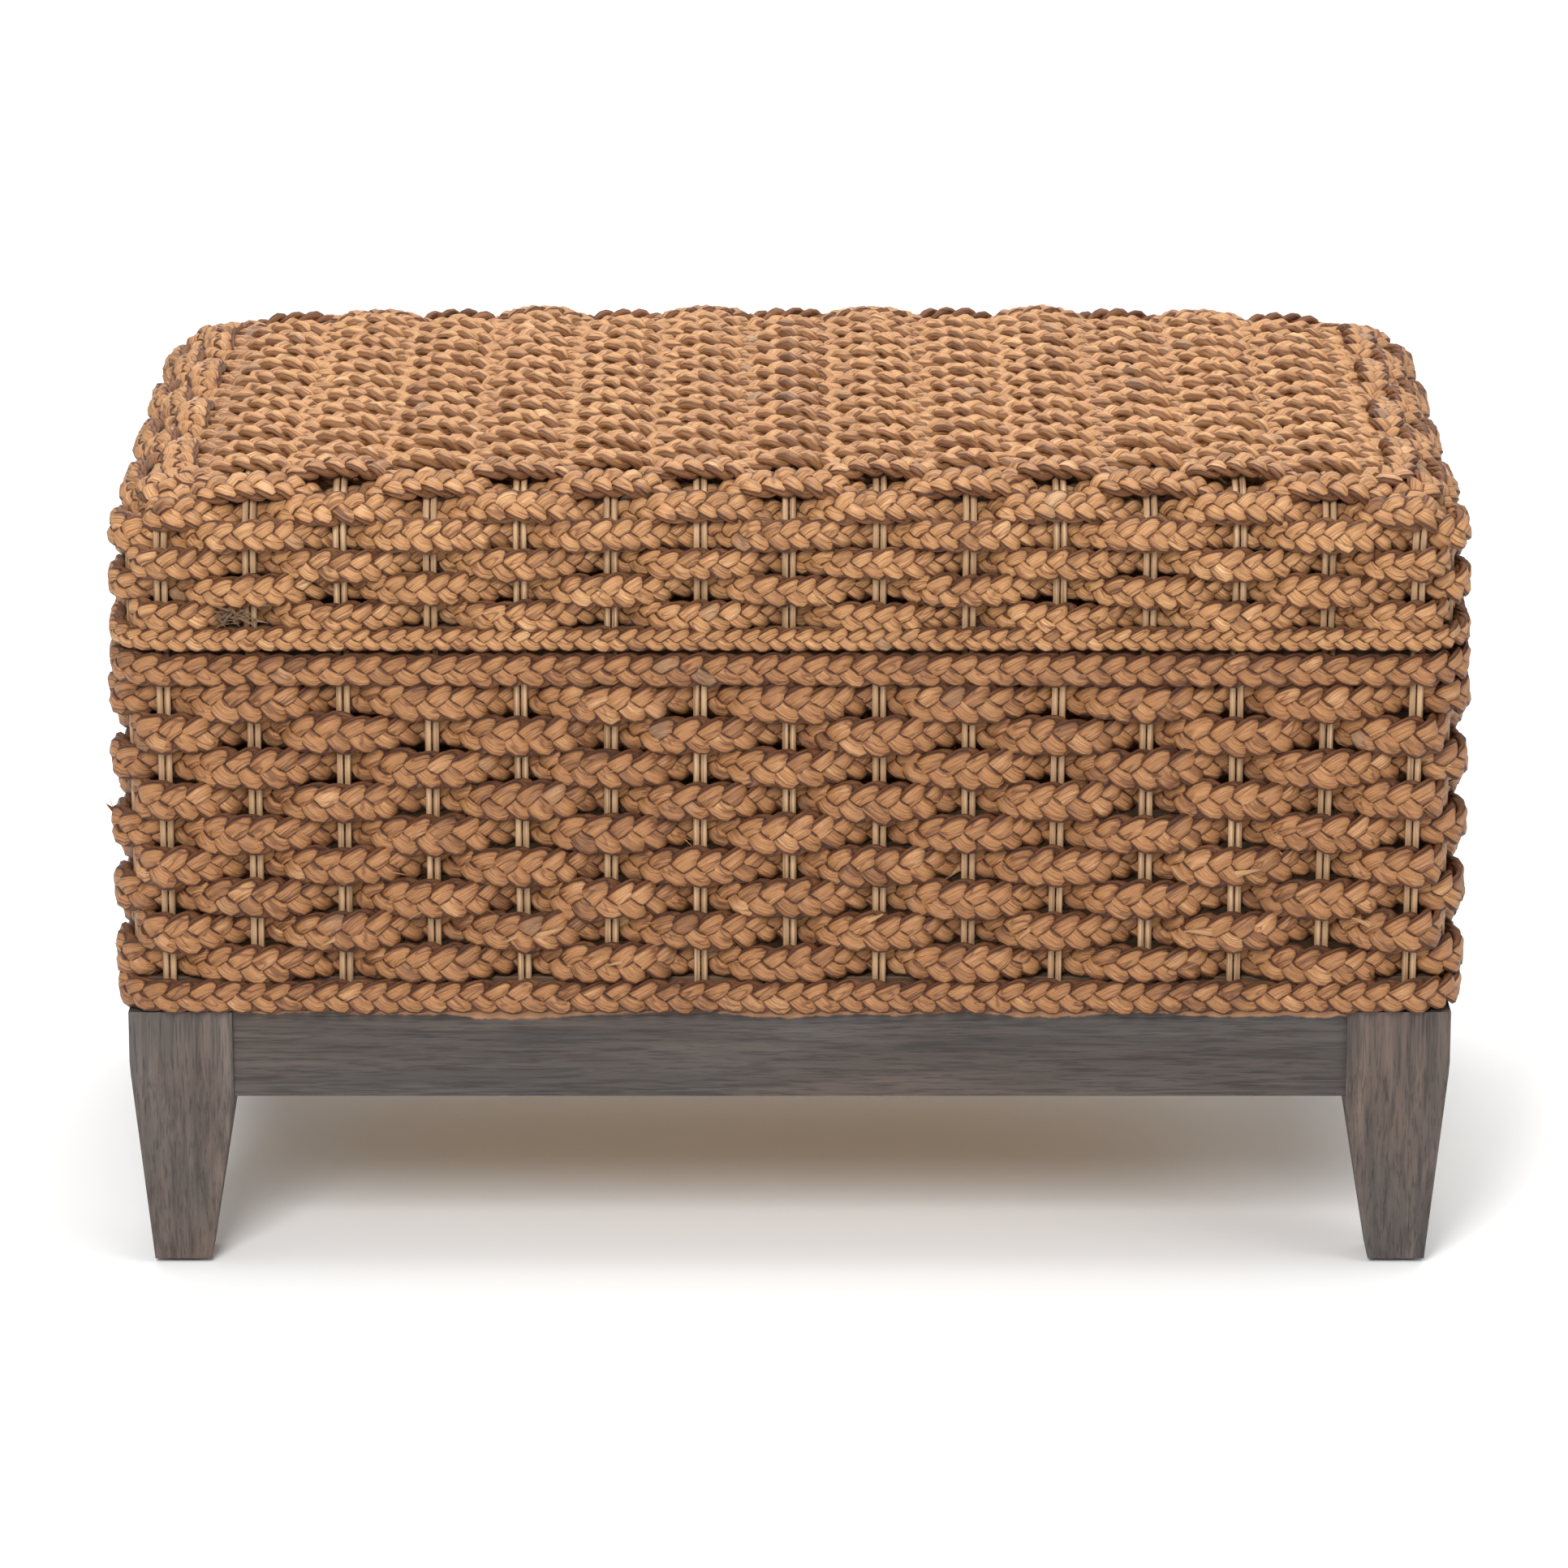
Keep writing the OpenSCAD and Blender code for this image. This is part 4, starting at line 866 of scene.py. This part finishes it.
dice = random.Random(417)
body_slivers, lid_slivers = [], []
for _ in range(46):
    root, out = on_weave(dice, (1, 2, 3, 4, 5, 6, 7), 0, ROW_WAVE)
    for _ in range(dice.choice((1, 2, 3))):
        body_slivers.append(sliver(dice, root, out, SPRUNG, dice.uniform(0.12, 0.6), dice.uniform(0.4, 1.0)))
for _ in range(54):
    root, out = on_weave(dice, (1, 1, 2, 2, 3, 4, 5), 0, ROW_WAVE)
    body_slivers.append(sliver(dice, root, out, FLAP, dice.uniform(0.10, 0.24), dice.uniform(0.8, 1.5)))
for _ in range(40):
    root, out = on_weave(dice, (2, 3), BODY_ROWS, LID_WAVE)
    for _ in range(dice.choice((1, 2))):
        lid_slivers.append(sliver(dice, root, out, SPRUNG, dice.uniform(0.12, 0.6), dice.uniform(0.4, 1.0)))
low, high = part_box("lid_row_1")
FRAYED_END = (-0.326, -HALF_D - 0.0088, (low[2] + high[2]) / 2 + 0.001)
FRAYED = (0.0005, 0.0009, 0.010)
for _ in range(44):
    root = [part + dice.gauss(0, reach) for part, reach in zip(FRAYED_END, (0.005, 0.0006, 0.0022))]
    lid_slivers.append(sliver(dice, root, (0.0, -1.0, 0.0), FRAYED, dice.uniform(0.1, 0.9),
                              dice.uniform(-0.1, 0.6), 0.9))
loose_leaf("body_loose_leaf", "trunk", body_slivers, body_leaf)
loose_leaf("lid_loose_leaf", "lid", lid_slivers, lid_leaf)

# ---------------------------------------------------------------------------
# Stakes: pairs of pale, machine-round rattan core, set upright in the body and
# bent over the lid. They carry the weave and show between its rows.
# ---------------------------------------------------------------------------


def rod_tree():
    """A node tree that turns curves into round rods."""
    t = Tree("rods", (("Radius", "Float"), ("Material", "Material")))
    along = t.remember(t.given["Geometry"], "along", t.add("GeometryNodeSplineParameter").outputs["Length"])
    which = t.remember(along, "which", t.add("GeometryNodeInputIndex").outputs["Index"], "CURVE")
    profile = t.add("GeometryNodeCurvePrimitiveCircle", {"Resolution": 10, "Radius": t.given["Radius"]})
    around = t.remember(profile.outputs["Curve"], "around",
                        t.add("GeometryNodeSplineParameter").outputs["Factor"])
    rods = t.add("GeometryNodeCurveToMesh", {"Curve": which, "Profile Curve": around, "Fill Caps": True})
    smooth = t.add("GeometryNodeSetShadeSmooth", {"Geometry": rods.outputs["Mesh"]})
    return t.finish(smooth.outputs["Geometry"])


RODS = rod_tree()


def rattan(name, seed):
    """Pale rattan core: long grooves, fine pores, darker and greener streaks."""
    core = Finish(name)
    place = core.xyz(core.attribute("along"), core.attribute("around"), core.attribute("which"))
    stretched = core.stretch(place, (seed, seed, 0), (16.0, 14.0, 3.7))
    groove = core.noise(stretched, 1.0, 4.0, 0.65)
    tone = core.ramp(core.noise(stretched, 0.6, 1.0), [
        (0.30, (0.30, 0.175, 0.090)), (0.52, (0.44, 0.275, 0.150)), (0.72, (0.56, 0.375, 0.22))])
    lines = core.ramp(groove, [(0.36, (0.48, 0.38, 0.28)), (0.52, (1, 1, 1))])
    return core.done(core.mix(tone, lines, 0.8), 0.55, groove, 0.5, 0.0006)


pale_rattan = rattan("rattan_core", 3.0)


def stakes(node, body, paths):
    """Round rods along the given paths, in the place of a CAD node."""
    name = node + "_rods"
    mesh = run_tree(path_curves(name, paths), RODS, Radius=STAKE_R * 0.97, Material=pale_rattan)
    put(name, mesh, body, [node])


def pair(place, out, profile, dice):
    """The two paths of a pair of stakes: profile gives (outward, height) from the stake plane."""
    along = (-out[1], out[0])
    tilt = dice.uniform(-0.0006, 0.0006)
    bow = dice.uniform(-0.0004, 0.0004)
    paths = []
    for side in (-1, 1):
        path = []
        for i, (reach, z) in enumerate(profile):
            u = i / (len(profile) - 1)
            shift = side * PAIR / 2 + tilt * (2 * u - 1) + bow * math.sin(math.pi * u)
            path.append((place[0] + along[0] * shift + out[0] * reach,
                         place[1] + along[1] * shift + out[1] * reach, z, 1.0))
        paths.append(path)
    return paths


front_places = [k * STEP_W - RUN_W / 2 for k in range(STAKES_FRONT)]
side_places = [k * STEP_D - RUN_D / 2 for k in range(STAKES_SIDE)]
foot, rim = stakes_low[2] + 0.0004, stakes_high[2] - 0.0006
straight = [(0.0, foot + (rim - foot) * i / 10) for i in range(11)]
short_rim = hinge_low[2] - 0.003
hinge_straight = [(0.0, foot + (short_rim - foot) * i / 10) for i in range(11)]
dice = random.Random(5)
front_paths, end_paths = [], []
for x in front_places:
    front_paths += pair((x, -HALF_D), (0, -1), straight, dice)
    behind = hinge_straight if near_hinge(x, HALF_D) > 0.6 else straight
    front_paths += pair((x, HALF_D), (0, 1), behind, dice)
for y in side_places:
    for side in (-1, 1):
        end_paths += pair((side * HALF_W, y), (side, 0), straight, dice)
stakes("stakes_front_rear", "trunk", front_paths)
stakes("stakes_sides", "trunk", end_paths)

lid_foot = stake_low[2] + 0.0004


def bent(stop, foot_z):
    """A stake's path up the lid's wall and round the bend to an angle, as (outward, height)."""
    wall = [(0.0, foot_z + (BEND_Z - foot_z) * i / 6) for i in range(7)]
    turn = [math.radians(stop * i / 12) for i in range(1, 13)]
    return wall + [(SHOULDER_R * (math.cos(a) - 1), BEND_Z + SHOULDER_R * math.sin(a)) for a in turn]


long_paths, short_paths = [], []
for k, x in enumerate(front_places):
    if k in (0, STAKES_FRONT - 1):
        for side in (-1, 1):
            short_paths += pair((x, side * HALF_D), (0, side), bent(22, lid_foot), dice)
        continue
    rear_foot = lid_foot + (0.0052 if near_hinge(x, HALF_D) > 0.6 else 0.0)
    front_half, rear_half = bent(90, lid_foot), bent(90, rear_foot)
    across = [(-y - HALF_D, TOP) for y in (-0.15, -0.1, -0.05, 0.0, 0.05, 0.1, 0.15)]
    rear_half = [(-2 * HALF_D - reach, z) for reach, z in rear_half[::-1]]
    long_paths += pair((x, -HALF_D), (0, -1), front_half + across + rear_half, dice)
for k, y in enumerate(side_places):
    stop = 22 if k in (0, STAKES_SIDE - 1) else 75
    for side in (-1, 1):
        short_paths += pair((side * HALF_W, y), (side, 0), bent(stop, lid_foot), dice)
stakes("lid_stakes_long", "lid", long_paths)
stakes("lid_stakes_short", "lid", short_paths)
